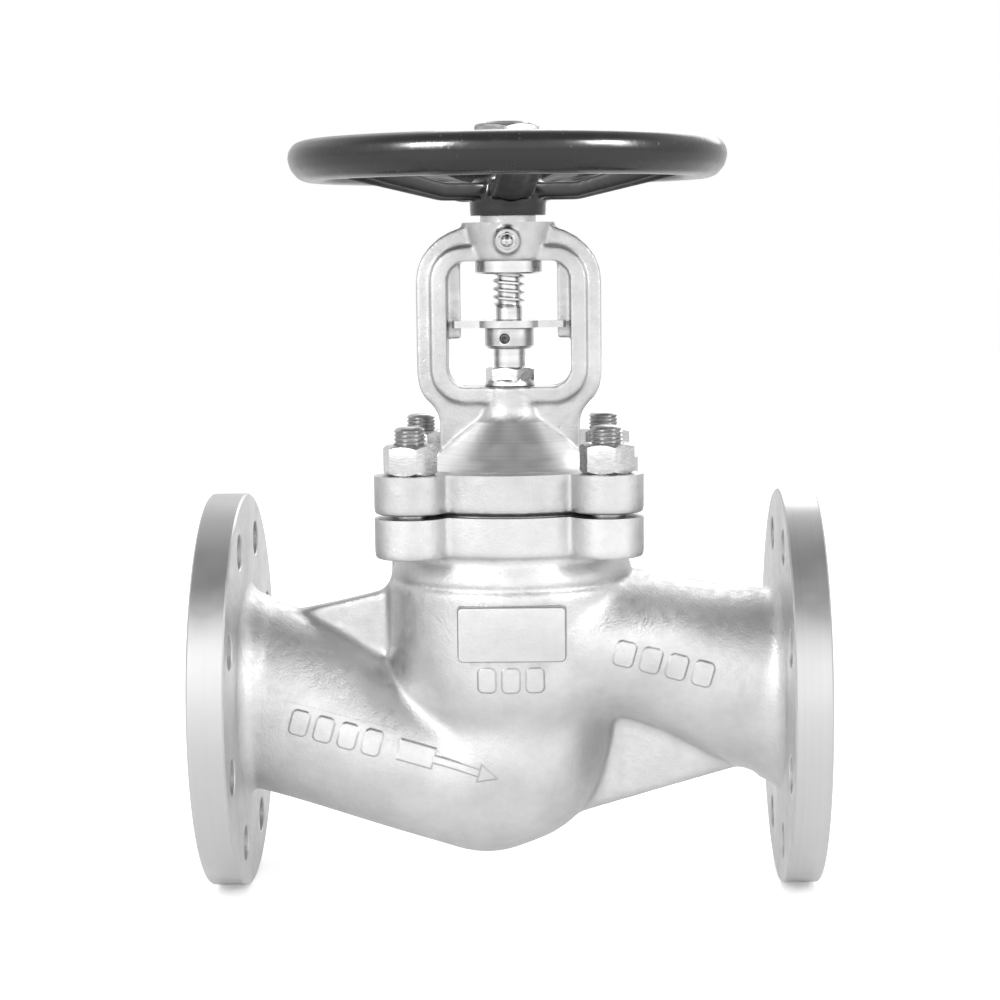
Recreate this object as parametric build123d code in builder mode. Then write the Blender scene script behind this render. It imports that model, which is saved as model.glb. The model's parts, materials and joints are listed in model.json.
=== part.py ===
"""Bellows-seal globe valve, DN 80, with flanged ends and an outside-screw yoke.

The frame: +X is the flow direction, from the inlet flange to the outlet flange, and +Z is
up along the stem. Z = 0 is the lowest point of the end flanges, and the pipe axis lies one
flange radius above it. Heights are given as rises above the pipe axis. Millimetres.
"""

import os
from math import cos, radians, sin

from build123d import *

os.makedirs("parts", exist_ok=True)

# Driving dimensions: ends, to the DN 80 PN 16 standard
face_to_face = 310.0
end_flange_d = 200.0
end_flange_thick = 18.0
raised_face_d = 138.0
raised_face_height = 2.0
bolt_circle_d = 160.0
bolt_hole_d = 18.0
bolt_count = 8
bore_d = 80.0

# Driving dimensions: body, bonnet joint and yoke
axis_height = end_flange_d / 2
seat_rise = 14.0
body_top = 92.7
bonnet_base = 94.5
body_flange_thick = 20.0
bonnet_flange_thick = 19.0
flange_core_r = 60.5
lobe_r = 18.0
lobe_offset = 48.0
stud_d = 16.0
stud_hole_d = 18.0
chamber_r = 62.5
chamber_bore_r = 54.5
neck_bore_r = 50.0
web_thick = 10.0

# Driving dimensions: stem, lift and handwheel
lift = 20.0
stem_r = 8.0
undercut_r = 6.6
running_clearance = 0.05
loose_clearance = 0.3
wheel_d = 220.0
hub_base = 239.5
hub_top = 273.5
rim_rise = 267.0
spoke_count = 5
first_spoke_angle = -84.0


def level(rise):
    """Horizontal plane at a height above the pipe axis."""
    return Plane.XY.offset(axis_height + rise)


def leg_plane(x, rise, dip):
    """Plane across a pipe leg whose centreline dips towards +X by an angle."""
    direction = (cos(radians(dip)), 0, -sin(radians(dip)))
    return Plane(origin=(x, 0, axis_height + rise), x_dir=(0, 1, 0), z_dir=direction)


def upright(points):
    """Points given as (radius or x, rise) moved to the row frame."""
    return [(x, axis_height + rise) for x, rise in points]


def lobed_outline():
    """Outline of the bonnet joint: a round core and a lobe round each stud."""
    with BuildSketch() as outline:
        Circle(flange_core_r)
        with GridLocations(2 * lobe_offset, 2 * lobe_offset, 2, 2):
            Circle(lobe_r)
        inner_corners = outline.vertices().filter_by(lambda v: Vector(v).length > 50)
        fillet(inner_corners, radius=7)
    return outline.sketch


def ring(label, outer_r, inner_r, low, high):
    """Plain ring round the stem axis between two rises."""
    with BuildPart() as piece:
        with BuildSketch(level(low)):
            Circle(outer_r)
            Circle(inner_r, mode=Mode.SUBTRACT)
        extrude(amount=high - low)
    piece.part.label = label
    export_step(piece.part, f"parts/{label}.step")


# Pipe legs: x, rise of the centreline, dip towards +X, half height, half width
inlet_outside = [
    (-137, 0, 0, 47.5, 47.5),
    (-127, -3.5, 11, 48, 48),
    (-100, -14.5, 24, 44.5, 47.5),
    (-66, -30, 22, 39.5, 49),
    (-22, -41, 10, 42, 47),
]
inlet_inside = [
    (-135, 0, 0, bore_d / 2, bore_d / 2),
    (-124, -3.5, 14, 39.5, 40),
    (-100, -14.5, 24, 37, 40),
    (-66, -30, 22, 32, 41),
    (-22, -41.5, 8, 35, 42),
]
outlet_outside = [
    (8, 26, 0, 34, 57),
    (62, 22.5, 14, 37.5, 50.5),
    (88, 15.5, 18, 39.5, 47.5),
    (112, 7.5, 17, 44, 47.2),
    (127, 2.8, 10, 47, 47.8),
    (137, 0, 0, 47.5, 47.5),
]
outlet_inside = [
    (38, 30, 0, 19.5, 34),
    (62, 22.5, 14, 29.5, 36.5),
    (88, 15.5, 18, 31.5, 37.5),
    (112, 7.5, 17, 36, 38.5),
    (125, 3, 12, 39, 39.5),
    (135, 0, 0, bore_d / 2, bore_d / 2),
]

bowl_centre = (-4, 0, axis_height - 30)
bowl_r = 51.0
heel_centre = (-14, 0, axis_height - 36)
heel_r = 49.0
bowl_bore_r = 43.5
chamber_floor = 10.0
seat_bore_r = 39.0
seat_ring_r = 46.0
seat_ring_base = 2.0
joint_recess_r = 55.5
joint_recess_floor = 88.7

# body: the S-shaped casting with its end flanges, webs, seat wall and name-plate pad
with BuildPart() as body:
    for leg in (inlet_outside, outlet_outside):
        for x, rise, dip, half_height, half_width in leg:
            with BuildSketch(leg_plane(x, rise, dip)):
                Ellipse(half_width, half_height)
        loft()
    with Locations(bowl_centre):
        Sphere(bowl_r)
    with Locations(heel_centre):
        Sphere(heel_r)
    with BuildSketch(level(-30)):
        Circle(50)
    extrude(amount=30)
    with BuildSketch(Plane.XZ):
        with BuildLine():
            Polyline(*upright([(58.2, body_top), (0, body_top), (0, -12), (48, -12)]))
            Line(*upright([(48, -12), (52, -12)]))
            Line(*upright([(52, -12), (chamber_r, 2)]))
            Line(*upright([(chamber_r, 2), (chamber_r, 50)]))
            Line(*upright([(chamber_r, 50), (61, 58)]))
            Line(*upright([(61, 58), (58.2, 63)]))
            Line(*upright([(58.2, 63), (58.2, body_top)]))
        make_face()
    revolve(axis=Axis.Z)
    # webs at the middle plane, over the inlet leg and under the outlet leg
    with BuildSketch(Plane.XZ):
        Polygon(
            *upright([(-122, 30), (-113, 40), (-88.5, 45), (-63, 51), (-60.5, 72.7), (-40, 72.7), (-40, 0)]),
            align=None,
        )
        Polygon(*upright([(24, -68), (31, -66.4), (119, -41), (126, -30), (60, 5), (10, -30)]), align=None)
    extrude(amount=web_thick / 2, both=True)
    # pad for the rating plate on the front of the chamber
    with BuildSketch(Plane.XZ.offset(50)):
        with Locations((1, axis_height + 36.8)):
            RectangleRounded(52.6, 27, 2)
    extrude(amount=16)
    with BuildSketch(level(body_top - body_flange_thick)):
        add(lobed_outline())
    extrude(amount=body_flange_thick)
    # end flanges with their raised faces
    for side in (-1, 1):
        rim_plane = Plane(
            origin=(side * (face_to_face / 2 - raised_face_height - end_flange_thick), 0, axis_height),
            x_dir=(0, 1, 0),
            z_dir=(side, 0, 0),
        )
        with BuildSketch(rim_plane):
            Circle(end_flange_d / 2)
        extrude(amount=end_flange_thick)
        with BuildSketch(rim_plane.offset(end_flange_thick)):
            Circle(raised_face_d / 2)
        extrude(amount=raised_face_height)
        with BuildSketch(rim_plane):
            with PolarLocations(bolt_circle_d / 2, bolt_count, start_angle=180 / bolt_count):
                Circle(bolt_hole_d / 2)
            Circle(bore_d / 2)
        extrude(amount=end_flange_thick + raised_face_height, mode=Mode.SUBTRACT)
    # flow passages
    for leg in (inlet_inside, outlet_inside):
        for x, rise, dip, half_height, half_width in leg:
            with BuildSketch(leg_plane(x, rise, dip)):
                Ellipse(half_width, half_height)
        loft(mode=Mode.SUBTRACT)
    with Locations(bowl_centre):
        Sphere(bowl_bore_r, mode=Mode.SUBTRACT)
    # seat bore, seat ring pocket, chamber, neck and joint recess in one turned cut
    with BuildSketch(Plane.XZ):
        with BuildLine():
            Polyline(
                *upright(
                    [
                        (0, -30),
                        (seat_bore_r, -30),
                        (seat_bore_r, seat_ring_base),
                        (seat_ring_r, seat_ring_base),
                        (seat_ring_r, chamber_floor),
                        (chamber_bore_r, chamber_floor),
                        (chamber_bore_r, 54),
                        (neck_bore_r, 62),
                        (neck_bore_r, joint_recess_floor),
                        (joint_recess_r, joint_recess_floor),
                        (joint_recess_r, body_top),
                        (0, body_top),
                    ]
                ),
                close=True,
            )
        make_face()
    revolve(axis=Axis.Z, mode=Mode.SUBTRACT)
    # tapped holes for the bonnet studs
    with BuildSketch(level(body_top - body_flange_thick + 3.3)):
        with GridLocations(2 * lobe_offset, 2 * lobe_offset, 2, 2):
            Circle(stud_d / 2 + running_clearance)
    extrude(amount=body_flange_thick, mode=Mode.SUBTRACT)


def body_portion(label, low, high):
    """Piece of the body casting between two corners, given as x, y and rise."""
    size = [top - base for base, top in zip(low, high)]
    centre = [(top + base) / 2 for base, top in zip(low, high)]
    with BuildPart() as piece:
        add(body.part)
        with Locations((centre[0], centre[1], axis_height + centre[2])):
            Box(*size, mode=Mode.INTERSECT)
    piece.part.label = label
    export_step(piece.part, f"parts/{label}.step")


# the casting is kept as eleven simple pieces that meet at flat cuts
half_length = face_to_face / 2
leg_end = half_length - raised_face_height - end_flange_thick
leg_root = 64.0
half_span = 110.0
bowl_cut = -12.0
chamber_cut = body_top - body_flange_thick
body_portion("body_inlet_flange", (-half_length, -half_span, -half_span), (-leg_end, half_span, half_span))
body_portion("body_inlet_leg", (-leg_end, -half_span, -half_span), (-leg_root, half_span, chamber_cut))
body_portion("body_bowl", (-leg_root, -half_span, -half_span), (leg_root, half_span, bowl_cut))
body_portion("body_seat_wall", (-leg_root, -half_span, bowl_cut), (leg_root, half_span, chamber_floor))
body_portion("body_chamber_front_in", (-leg_root, -half_span, chamber_floor), (0, 0, chamber_cut))
body_portion("body_chamber_back_in", (-leg_root, 0, chamber_floor), (0, half_span, chamber_cut))
body_portion("body_chamber_front_out", (0, -half_span, chamber_floor), (leg_root, 0, chamber_cut))
body_portion("body_chamber_back_out", (0, 0, chamber_floor), (leg_root, half_span, chamber_cut))
body_portion("body_joint_flange", (-half_span, -half_span, chamber_cut), (half_span, half_span, body_top))
body_portion("body_outlet_leg", (leg_root, -half_span, -half_span), (leg_end, half_span, chamber_cut))
body_portion("body_outlet_flange", (leg_end, -half_span, -half_span), (half_length, half_span, half_span))

bonnet_top = bonnet_base + bonnet_flange_thick
carrier_base = 90.2
carrier_flange_top = 93.0
carrier_tube_r = 29.5
carrier_tube_bore_r = 27.0
carrier_ceiling = 112.5
carrier_top = 116.0
cavity_r = 31.5
cavity_ceiling = 117.0
packing_floor = 124.0
packing_r = 12.0
neck_top = 153.8
yoke_half_thick = 10.0
band_half_thick = 13.0
window_half_width = 31.1
window_top = 216.8
rail_half_thick = 3.0
rail_inner_x = 24.5
rail_base = 178.0
boss_top = 236.0
boss_bore_r = 17.5
journal_r = 14.0
bearing_ceiling = 230.0
nipple_rise = 226.7
nipple_pad_front = 23.0
grease_hole_r = 3.0

# bonnet: joint flange, turned cone and neck, and the yoke, cast in one piece
with BuildPart() as bonnet:
    with BuildSketch(level(bonnet_base)):
        add(lobed_outline())
    extrude(amount=bonnet_flange_thick)
    with BuildSketch(Plane.XZ):
        with BuildLine():
            Polyline(*upright([(16, neck_top), (0, neck_top), (0, 104), (45.5, 104), (45.5, bonnet_top)]))
            Polyline(*upright([(45.5, bonnet_top), (37.6, 119), (30.8, 126.7), (19.8, 136)]))
            ThreePointArc(*upright([(19.8, 136), (16.9, 140.5), (16, 146)]))
            Line(*upright([(16, 146), (16, neck_top)]))
        make_face()
    revolve(axis=Axis.Z)
    # yoke: thin outer band, with its legs running down into the cone as webs
    with BuildSketch(Plane.XZ):
        with BuildLine():
            Polyline(*upright([(0, 234.5), (0, 116), (35.3, 116), (35.3, 138)]))
            ThreePointArc(*upright([(35.3, 138), (43, 147.5), (46.4, 160)]))
            Line(*upright([(46.4, 160), (46.4, 207)]))
            ThreePointArc(*upright([(46.4, 207), (40.6, 224), (25.5, 233)]))
            Polyline(*upright([(25.5, 233), (18, 234.5), (0, 234.5)]))
        make_face()
        mirror(about=Plane.YZ)
    extrude(amount=yoke_half_thick, both=True)
    # thicker inner band round the window
    with BuildSketch(Plane.XZ):
        with Locations((0, axis_height + 185)):
            RectangleRounded(78, 78, 17)
    extrude(amount=band_half_thick, both=True)
    # boss for the stem nut, with a pad for the grease nipple
    with BuildSketch(Plane.XZ):
        Polygon(
            *upright(
                [(0, window_top), (19, window_top), (19.9, 218), (23.3, 235), (22.3, boss_top), (0, boss_top)]
            ),
            align=None,
        )
    revolve(axis=Axis.Z)
    with BuildSketch(Plane.XZ.offset(16)):
        with Locations((0, axis_height + nipple_rise)):
            Circle(6)
    extrude(amount=nipple_pad_front - 16)
    # window, then the two guide rails left standing inside it
    with BuildSketch(Plane.XZ):
        with Locations((0, axis_height + (neck_top + window_top) / 2)):
            RectangleRounded(2 * window_half_width, window_top - neck_top, 9.5)
    extrude(amount=40, both=True, mode=Mode.SUBTRACT)
    for side in (-1, 1):
        rail_x = side * (rail_inner_x + window_half_width + 1) / 2
        rail_width = window_half_width + 1 - rail_inner_x
        with BuildSketch(Plane.XZ):
            with Locations((rail_x, axis_height + (rail_base + window_top + 1) / 2)):
                Rectangle(rail_width, window_top + 1 - rail_base)
        extrude(amount=rail_half_thick, both=True)
    # stud holes
    with BuildSketch(level(bonnet_base)):
        with GridLocations(2 * lobe_offset, 2 * lobe_offset, 2, 2):
            Circle(stud_hole_d / 2)
    extrude(amount=bonnet_flange_thick, mode=Mode.SUBTRACT)
    # bellows cavity, stem guide and stuffing box
    with BuildSketch(Plane.XZ):
        Polygon(
            *upright(
                [
                    (0, bonnet_base - 1),
                    (cavity_r, bonnet_base - 1),
                    (cavity_r, 111),
                    (carrier_tube_r + 0.5, cavity_ceiling),
                    (stem_r + running_clearance, cavity_ceiling),
                    (stem_r + running_clearance, packing_floor),
                    (packing_r, packing_floor),
                    (packing_r, neck_top + 1),
                    (0, neck_top + 1),
                ]
            ),
            align=None,
        )
    revolve(axis=Axis.Z, mode=Mode.SUBTRACT)
    # bearing bore, journal bore and grease hole in the boss
    with BuildSketch(Plane.XZ):
        Polygon(
            *upright(
                [
                    (0, window_top - 1),
                    (boss_bore_r, window_top - 1),
                    (boss_bore_r, bearing_ceiling),
                    (journal_r + running_clearance, bearing_ceiling),
                    (journal_r + running_clearance, boss_top + 1),
                    (0, boss_top + 1),
                ]
            ),
            align=None,
        )
    revolve(axis=Axis.Z, mode=Mode.SUBTRACT)
    with BuildSketch(Plane.XZ.offset(10)):
        with Locations((0, axis_height + nipple_rise)):
            Circle(grease_hole_r)
    extrude(amount=20, mode=Mode.SUBTRACT)
bonnet.part.label = "bonnet"
export_step(bonnet.part, "parts/bonnet.step")

# seat ring pressed into the seat wall
with BuildPart() as seat_ring:
    with BuildSketch(Plane.XZ):
        Polygon(
            *upright(
                [
                    (seat_bore_r, seat_ring_base),
                    (seat_ring_r, seat_ring_base),
                    (seat_ring_r, chamber_floor),
                    (44.5, seat_rise),
                    (seat_bore_r + 1, seat_rise),
                    (seat_bore_r, seat_rise - 1),
                ]
            ),
            align=None,
        )
    revolve(axis=Axis.Z)
seat_ring.part.label = "seat_ring"
export_step(seat_ring.part, "parts/seat_ring.step")

# plug: disc, and the screwed ring that holds it on the stem's button
disc_r = 44.0
disc_hub_r = 19.0
disc_top = 25.0
disc_hub_top = 42.0
button_r = 10.0
button_top = 30.0
socket_floor = 21.7
disc_nut_r = 13.0
with BuildPart() as disc:
    with BuildSketch(Plane.XZ):
        Polygon(
            *upright(
                [
                    (0, 12.5),
                    (37, 12.5),
                    (38.5, seat_rise),
                    (disc_r - 1, seat_rise),
                    (disc_r, seat_rise + 1),
                    (disc_r, disc_top - 2),
                    (disc_r - 2, disc_top),
                    (disc_hub_r + 2, disc_top + 2),
                    (disc_hub_r, disc_top + 4),
                    (disc_hub_r, disc_hub_top),
                    (disc_nut_r, disc_hub_top),
                    (disc_nut_r, button_top + loose_clearance),
                    (button_r + loose_clearance, button_top + loose_clearance),
                    (button_r + loose_clearance, socket_floor),
                    (0, socket_floor),
                ]
            ),
            align=None,
        )
    revolve(axis=Axis.Z)
disc.part.label = "disc"
export_step(disc.part, "parts/disc.step")

ring("disc_nut", disc_nut_r, stem_r + 0.35, button_top + loose_clearance, disc_hub_top + 1)

# stem: button, plain shaft, relief groove and trapezoidal thread, with a flat for the guide plate
thread_r = 7.9
stem_top = 246.0
plate_base = 183.5
plate_top = 187.0
thread_start = 194.0
stem_flat = 6.8
with BuildPart() as stem:
    with BuildSketch(Plane.XZ):
        Polygon(
            *upright(
                [
                    (0, socket_floor),
                    (button_r - 1, socket_floor),
                    (button_r, socket_floor + 1),
                    (button_r, button_top),
                    (stem_r, button_top),
                    (stem_r, plate_top),
                    (undercut_r, plate_top + 0.5),
                    (undercut_r, thread_start - 1.3),
                    (thread_r, thread_start),
                    (thread_r, stem_top - 1.5),
                    (thread_r - 1.5, stem_top),
                    (0, stem_top),
                ]
            ),
            align=None,
        )
    revolve(axis=Axis.Z)
    with BuildSketch(level(plate_base)):
        with Locations((0, stem_flat + 5)):
            Rectangle(20, 10)
    extrude(amount=plate_top + 0.5 - plate_base, mode=Mode.SUBTRACT)
stem.part.label = "stem"
export_step(stem.part, "parts/stem.step")

# bellows: lower ring on the stem, convoluted tube, and the carrier clamped in the bonnet joint
bellows_base = 50.0
bellows_crest_r = 25.0
bellows_root_r = 17.5
bellows_wall = 0.8
convolutions = 12
ring("bellows_lower_ring", 20.0, stem_r + running_clearance, bellows_base - 5, bellows_base)

pitch = (carrier_ceiling - bellows_base) / convolutions
wave = [(bellows_root_r, bellows_base)]
for turn in range(convolutions):
    start = bellows_base + turn * pitch
    wave.append((bellows_crest_r, start + 0.35 * pitch))
    wave.append((bellows_crest_r, start + 0.65 * pitch))
    wave.append((bellows_root_r, start + pitch - 0.15 * pitch))
    if turn < convolutions - 1:
        wave.append((bellows_root_r, start + pitch + 0.15 * pitch))
wave.append((bellows_root_r, carrier_ceiling))
inner_wave = [(radius - bellows_wall, rise) for radius, rise in reversed(wave)]
with BuildPart() as bellows:
    with BuildSketch(Plane.XZ):
        Polygon(*upright(wave + inner_wave), align=None)
    revolve(axis=Axis.Z)
bellows.part.label = "bellows"
export_step(bellows.part, "parts/bellows.step")

with BuildPart() as bellows_carrier:
    with BuildSketch(Plane.XZ):
        Polygon(
            *upright(
                [
                    (carrier_tube_bore_r, carrier_base),
                    (joint_recess_r - 0.5, carrier_base),
                    (joint_recess_r - 0.5, carrier_flange_top),
                    (carrier_tube_r, carrier_flange_top),
                    (carrier_tube_r, carrier_top),
                    (13, carrier_top),
                    (13, carrier_ceiling),
                    (carrier_tube_bore_r, carrier_ceiling),
                ]
            ),
            align=None,
        )
    revolve(axis=Axis.Z)
bellows_carrier.part.label = "bellows_carrier"
export_step(bellows_carrier.part, "parts/bellows_carrier.step")

ring("lower_gasket", joint_recess_r - 0.5, neck_bore_r + 0.5, joint_recess_floor, carrier_base)
ring("upper_gasket", joint_recess_r - 0.5, cavity_r + 1.5, carrier_flange_top, bonnet_base)

# bonnet studs, screwed into the body flange, and their nuts
nut_across_flats = 24.0
nut_height = 14.8
stud_base = body_top - body_flange_thick + 3.3
stud_top = 137.0
with BuildPart() as bonnet_studs:
    with BuildSketch(level(stud_base)):
        with GridLocations(2 * lobe_offset, 2 * lobe_offset, 2, 2):
            Circle(stud_d / 2)
    extrude(amount=stud_top - stud_base)
    stud_ends = bonnet_studs.edges().filter_by(GeomType.CIRCLE)
    chamfer(stud_ends, length=1.2)
bonnet_studs.part.label = "bonnet_studs"
export_step(bonnet_studs.part, "parts/bonnet_studs.step")

with BuildPart() as bonnet_nuts:
    with BuildSketch(level(bonnet_top)):
        with GridLocations(2 * lobe_offset, 2 * lobe_offset, 2, 2):
            RegularPolygon(nut_across_flats / 2, 6, major_radius=False, rotation=-14.4)
            Circle(stud_d / 2 + running_clearance, mode=Mode.SUBTRACT)
    extrude(amount=nut_height)
bonnet_nuts.part.label = "bonnet_nuts"
export_step(bonnet_nuts.part, "parts/bonnet_nuts.step")

# stem packing: floor washer, three rings, follower bush and gland nut
packing_count = 3
packing_base = packing_floor + 2
bush_base = 139.0
gland_base = 143.0
ring("packing_washer", packing_r - running_clearance, stem_r + 0.1, packing_floor, packing_base)

packing_height = (bush_base - packing_base) / packing_count
with BuildPart() as packing_rings:
    for turn in range(packing_count):
        with BuildSketch(level(packing_base + turn * packing_height)):
            Circle(packing_r - running_clearance)
            Circle(stem_r + running_clearance, mode=Mode.SUBTRACT)
        extrude(amount=packing_height - 0.05)
packing_rings.part.label = "packing_rings"
export_step(packing_rings.part, "parts/packing_rings.step")

ring("packing_bush", packing_r - running_clearance, stem_r + 0.1, bush_base, gland_base)

with BuildPart() as gland_nut:
    with BuildSketch(level(gland_base)):
        Circle(packing_r - running_clearance)
    extrude(amount=neck_top - gland_base)
    with BuildSketch(level(neck_top)):
        Circle(12.7)
    extrude(amount=3.8)
    with BuildSketch(level(neck_top + 3.8)):
        RegularPolygon(11, 6, major_radius=False, rotation=-13)
    extrude(amount=6)
    with BuildSketch(level(gland_base)):
        Circle(stem_r + 0.35)
    extrude(amount=30, mode=Mode.SUBTRACT)
gland_nut.part.label = "gland_nut"
export_step(gland_nut.part, "parts/gland_nut.step")

# guide plate: keeps the stem from turning, with forked arms round the yoke's rails
plate_reach = 28.5
fork_depth = plate_reach - rail_inner_x + loose_clearance
with BuildPart() as guide_plate:
    with BuildSketch(level(plate_base)):
        Circle(17)
        Rectangle(2 * plate_reach, 17)
        with Locations((plate_reach - fork_depth / 2, 0), (-plate_reach + fork_depth / 2, 0)):
            Rectangle(fork_depth, 2 * (rail_half_thick + loose_clearance), mode=Mode.SUBTRACT)
        with BuildSketch(mode=Mode.PRIVATE) as stem_hole:
            Circle(stem_r + running_clearance)
            with Locations((0, stem_flat + running_clearance + 5)):
                Rectangle(20, 10, mode=Mode.SUBTRACT)
        add(stem_hole.sketch, mode=Mode.SUBTRACT)
    extrude(amount=plate_top - plate_base)
guide_plate.part.label = "guide_plate"
export_step(guide_plate.part, "parts/guide_plate.step")

# clamp collar under the guide plate, with its set screw
collar_r = 12.25
collar_base = 172.8
screw_rise = 178.1
screw_r = 2.6
screw_angle = -100.0
screw_direction = (cos(radians(screw_angle)), sin(radians(screw_angle)), 0)
screw_plane = Plane(origin=(0, 0, axis_height + screw_rise), x_dir=(0, 0, 1), z_dir=screw_direction)
with BuildPart() as clamp_collar:
    with BuildSketch(level(collar_base)):
        Circle(collar_r)
        Circle(stem_r + running_clearance, mode=Mode.SUBTRACT)
    extrude(amount=plate_base - collar_base)
    with BuildSketch(screw_plane):
        Circle(screw_r + running_clearance)
    extrude(amount=collar_r + 2, mode=Mode.SUBTRACT)
clamp_collar.part.label = "clamp_collar"
export_step(clamp_collar.part, "parts/clamp_collar.step")

with BuildPart() as collar_screw:
    with BuildSketch(screw_plane.offset(stem_r + 0.1)):
        Circle(screw_r)
    extrude(amount=3.8)
    with BuildSketch(screw_plane.offset(stem_r + 3.9)):
        RegularPolygon(1.25, 6, major_radius=False)
    extrude(amount=-2, mode=Mode.SUBTRACT)
collar_screw.part.label = "collar_screw"
export_step(collar_screw.part, "parts/collar_screw.step")

# stem nut: journal, thrust flange and keyed spigot for the handwheel, bored for the stem
sleeve_r = 12.0
sleeve_base = 211.0
flange_base = 223.0
flange_top = 228.5
thrust_r = 17.0
spigot_thread_r = 11.0
spigot_top = 286.0
key_half_width = 3.0
key_floor = 10.4
key_top = 14.0
key_low = 244.0
key_high = 268.0
with BuildPart() as stem_nut:
    with BuildSketch(Plane.XZ):
        Polygon(
            *upright(
                [
                    (thread_r + running_clearance, sleeve_base),
                    (sleeve_r, sleeve_base),
                    (sleeve_r, flange_base),
                    (thrust_r, flange_base),
                    (thrust_r, flange_top),
                    (journal_r, flange_top),
                    (journal_r, hub_base),
                    (sleeve_r, hub_base),
                    (sleeve_r, hub_top - 0.5),
                    (spigot_thread_r, hub_top),
                    (spigot_thread_r, spigot_top - 1),
                    (spigot_thread_r - 1, spigot_top),
                    (stem_r + 0.6, spigot_top),
                    (stem_r + 0.6, 250),
                    (thread_r + running_clearance, 249.5),
                ]
            ),
            align=None,
        )
    revolve(axis=Axis.Z)
    with BuildSketch(level(key_low)):
        with Locations((0, key_floor + 5)):
            Rectangle(2 * key_half_width, 10)
    extrude(amount=key_high - key_low, mode=Mode.SUBTRACT)
stem_nut.part.label = "stem_nut"
export_step(stem_nut.part, "parts/stem_nut.step")

ring("lower_thrust_washer", thrust_r, sleeve_r + loose_clearance, flange_base - 1.5, flange_base)
ring("upper_thrust_washer", thrust_r, journal_r + loose_clearance, flange_top, bearing_ceiling)

# retainer screwed into the boss from below, with two holes for a pin spanner
with BuildPart() as bearing_retainer:
    with BuildSketch(level(210.4)):
        Circle(16.8)
    extrude(amount=window_top - 210.4)
    with BuildSketch(level(window_top)):
        Circle(boss_bore_r - running_clearance)
    extrude(amount=flange_base - 1.5 - window_top)
    with BuildSketch(level(210.4)):
        Circle(sleeve_r + loose_clearance)
    extrude(amount=20, mode=Mode.SUBTRACT)
    with BuildSketch(level(210.4)):
        with PolarLocations(14.5, 2):
            Circle(1.2)
    extrude(amount=4, mode=Mode.SUBTRACT)
bearing_retainer.part.label = "bearing_retainer"
export_step(bearing_retainer.part, "parts/bearing_retainer.step")

# grease nipple in the boss
with BuildPart() as grease_nipple:
    with BuildSketch(Plane.XZ.offset(18)):
        with Locations((0, axis_height + nipple_rise)):
            Circle(grease_hole_r - running_clearance)
    extrude(amount=nipple_pad_front - 18)
    with BuildSketch(Plane.XZ.offset(nipple_pad_front)):
        with Locations((0, axis_height + nipple_rise)):
            RegularPolygon(4, 6, major_radius=False)
    extrude(amount=3.5)
    with BuildSketch(Plane.XZ.offset(nipple_pad_front + 3.5)):
        with Locations((0, axis_height + nipple_rise)):
            Circle(2.4)
    extrude(amount=2)
    with Locations((0, -nipple_pad_front - 7, axis_height + nipple_rise)):
        Sphere(3.2)
grease_nipple.part.label = "grease_nipple"
export_step(grease_nipple.part, "parts/grease_nipple.step")

# handwheel: hub, five dished spokes and the rim
rim_half_width = 11.0
rim_half_height = 10.3
rim_centre_r = wheel_d / 2 - rim_half_width
with BuildPart() as handwheel:
    with BuildSketch(Plane.XZ):
        Polygon(
            *upright(
                [
                    (0, hub_base),
                    (18, hub_base),
                    (19.1, hub_base + 1),
                    (19.1, 251.5),
                    (17.5, 254),
                    (17, hub_top),
                    (0, hub_top),
                ]
            ),
            align=None,
        )
    revolve(axis=Axis.Z)
    for spoke in range(spoke_count):
        angle = radians(first_spoke_angle + spoke * 360 / spoke_count)
        along = (cos(angle), sin(angle), 0)
        spoke_plane = Plane(origin=(0, 0, 0), x_dir=along, z_dir=(sin(angle), -cos(angle), 0))
        with BuildSketch(spoke_plane):
            Polygon(
                *upright(
                    [(10, 248.2), (37, 248.2), (95, rim_rise - 4), (95, rim_rise + 4), (37, 255.6), (10, 255.6)]
                ),
                align=None,
            )
        extrude(amount=9, both=True)
    with BuildSketch(Plane.XZ):
        with Locations((rim_centre_r, axis_height + rim_rise)):
            Ellipse(rim_half_width, rim_half_height)
    revolve(axis=Axis.Z)
    with BuildSketch(level(hub_base)):
        Circle(sleeve_r + running_clearance)
        with Locations((0, key_top / 2)):
            Rectangle(2 * key_half_width, key_top)
    extrude(amount=hub_top - hub_base, mode=Mode.SUBTRACT)
handwheel.part.label = "handwheel"
export_step(handwheel.part, "parts/handwheel.step")

with BuildPart() as wheel_key:
    with BuildSketch(level(key_low)):
        with Locations((0, (key_floor + key_top) / 2)):
            Rectangle(2 * key_half_width, key_top - key_floor)
    extrude(amount=key_high - key_low)
wheel_key.part.label = "wheel_key"
export_step(wheel_key.part, "parts/wheel_key.step")

ring("wheel_washer", 16.5, spigot_thread_r + 0.2, hub_top, hub_top + 2.5)

with BuildPart() as wheel_nut:
    with BuildSketch(level(hub_top + 2.5)):
        RegularPolygon(16, 6, major_radius=False, rotation=30)
        Circle(spigot_thread_r + running_clearance, mode=Mode.SUBTRACT)
    extrude(amount=9)
wheel_nut.part.label = "wheel_nut"
export_step(wheel_nut.part, "parts/wheel_nut.step")
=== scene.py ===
"""Bellows-seal globe valve: the cast body and its seat, the plug and stem, the bonnet with its
yoke, the gland, the stem nut and the handwheel, in the order in which they are put together."""

import json
from math import atan2, cos, hypot, radians, sin, sqrt, tau

import bmesh
import bpy
from mathutils import Matrix, Vector


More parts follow.
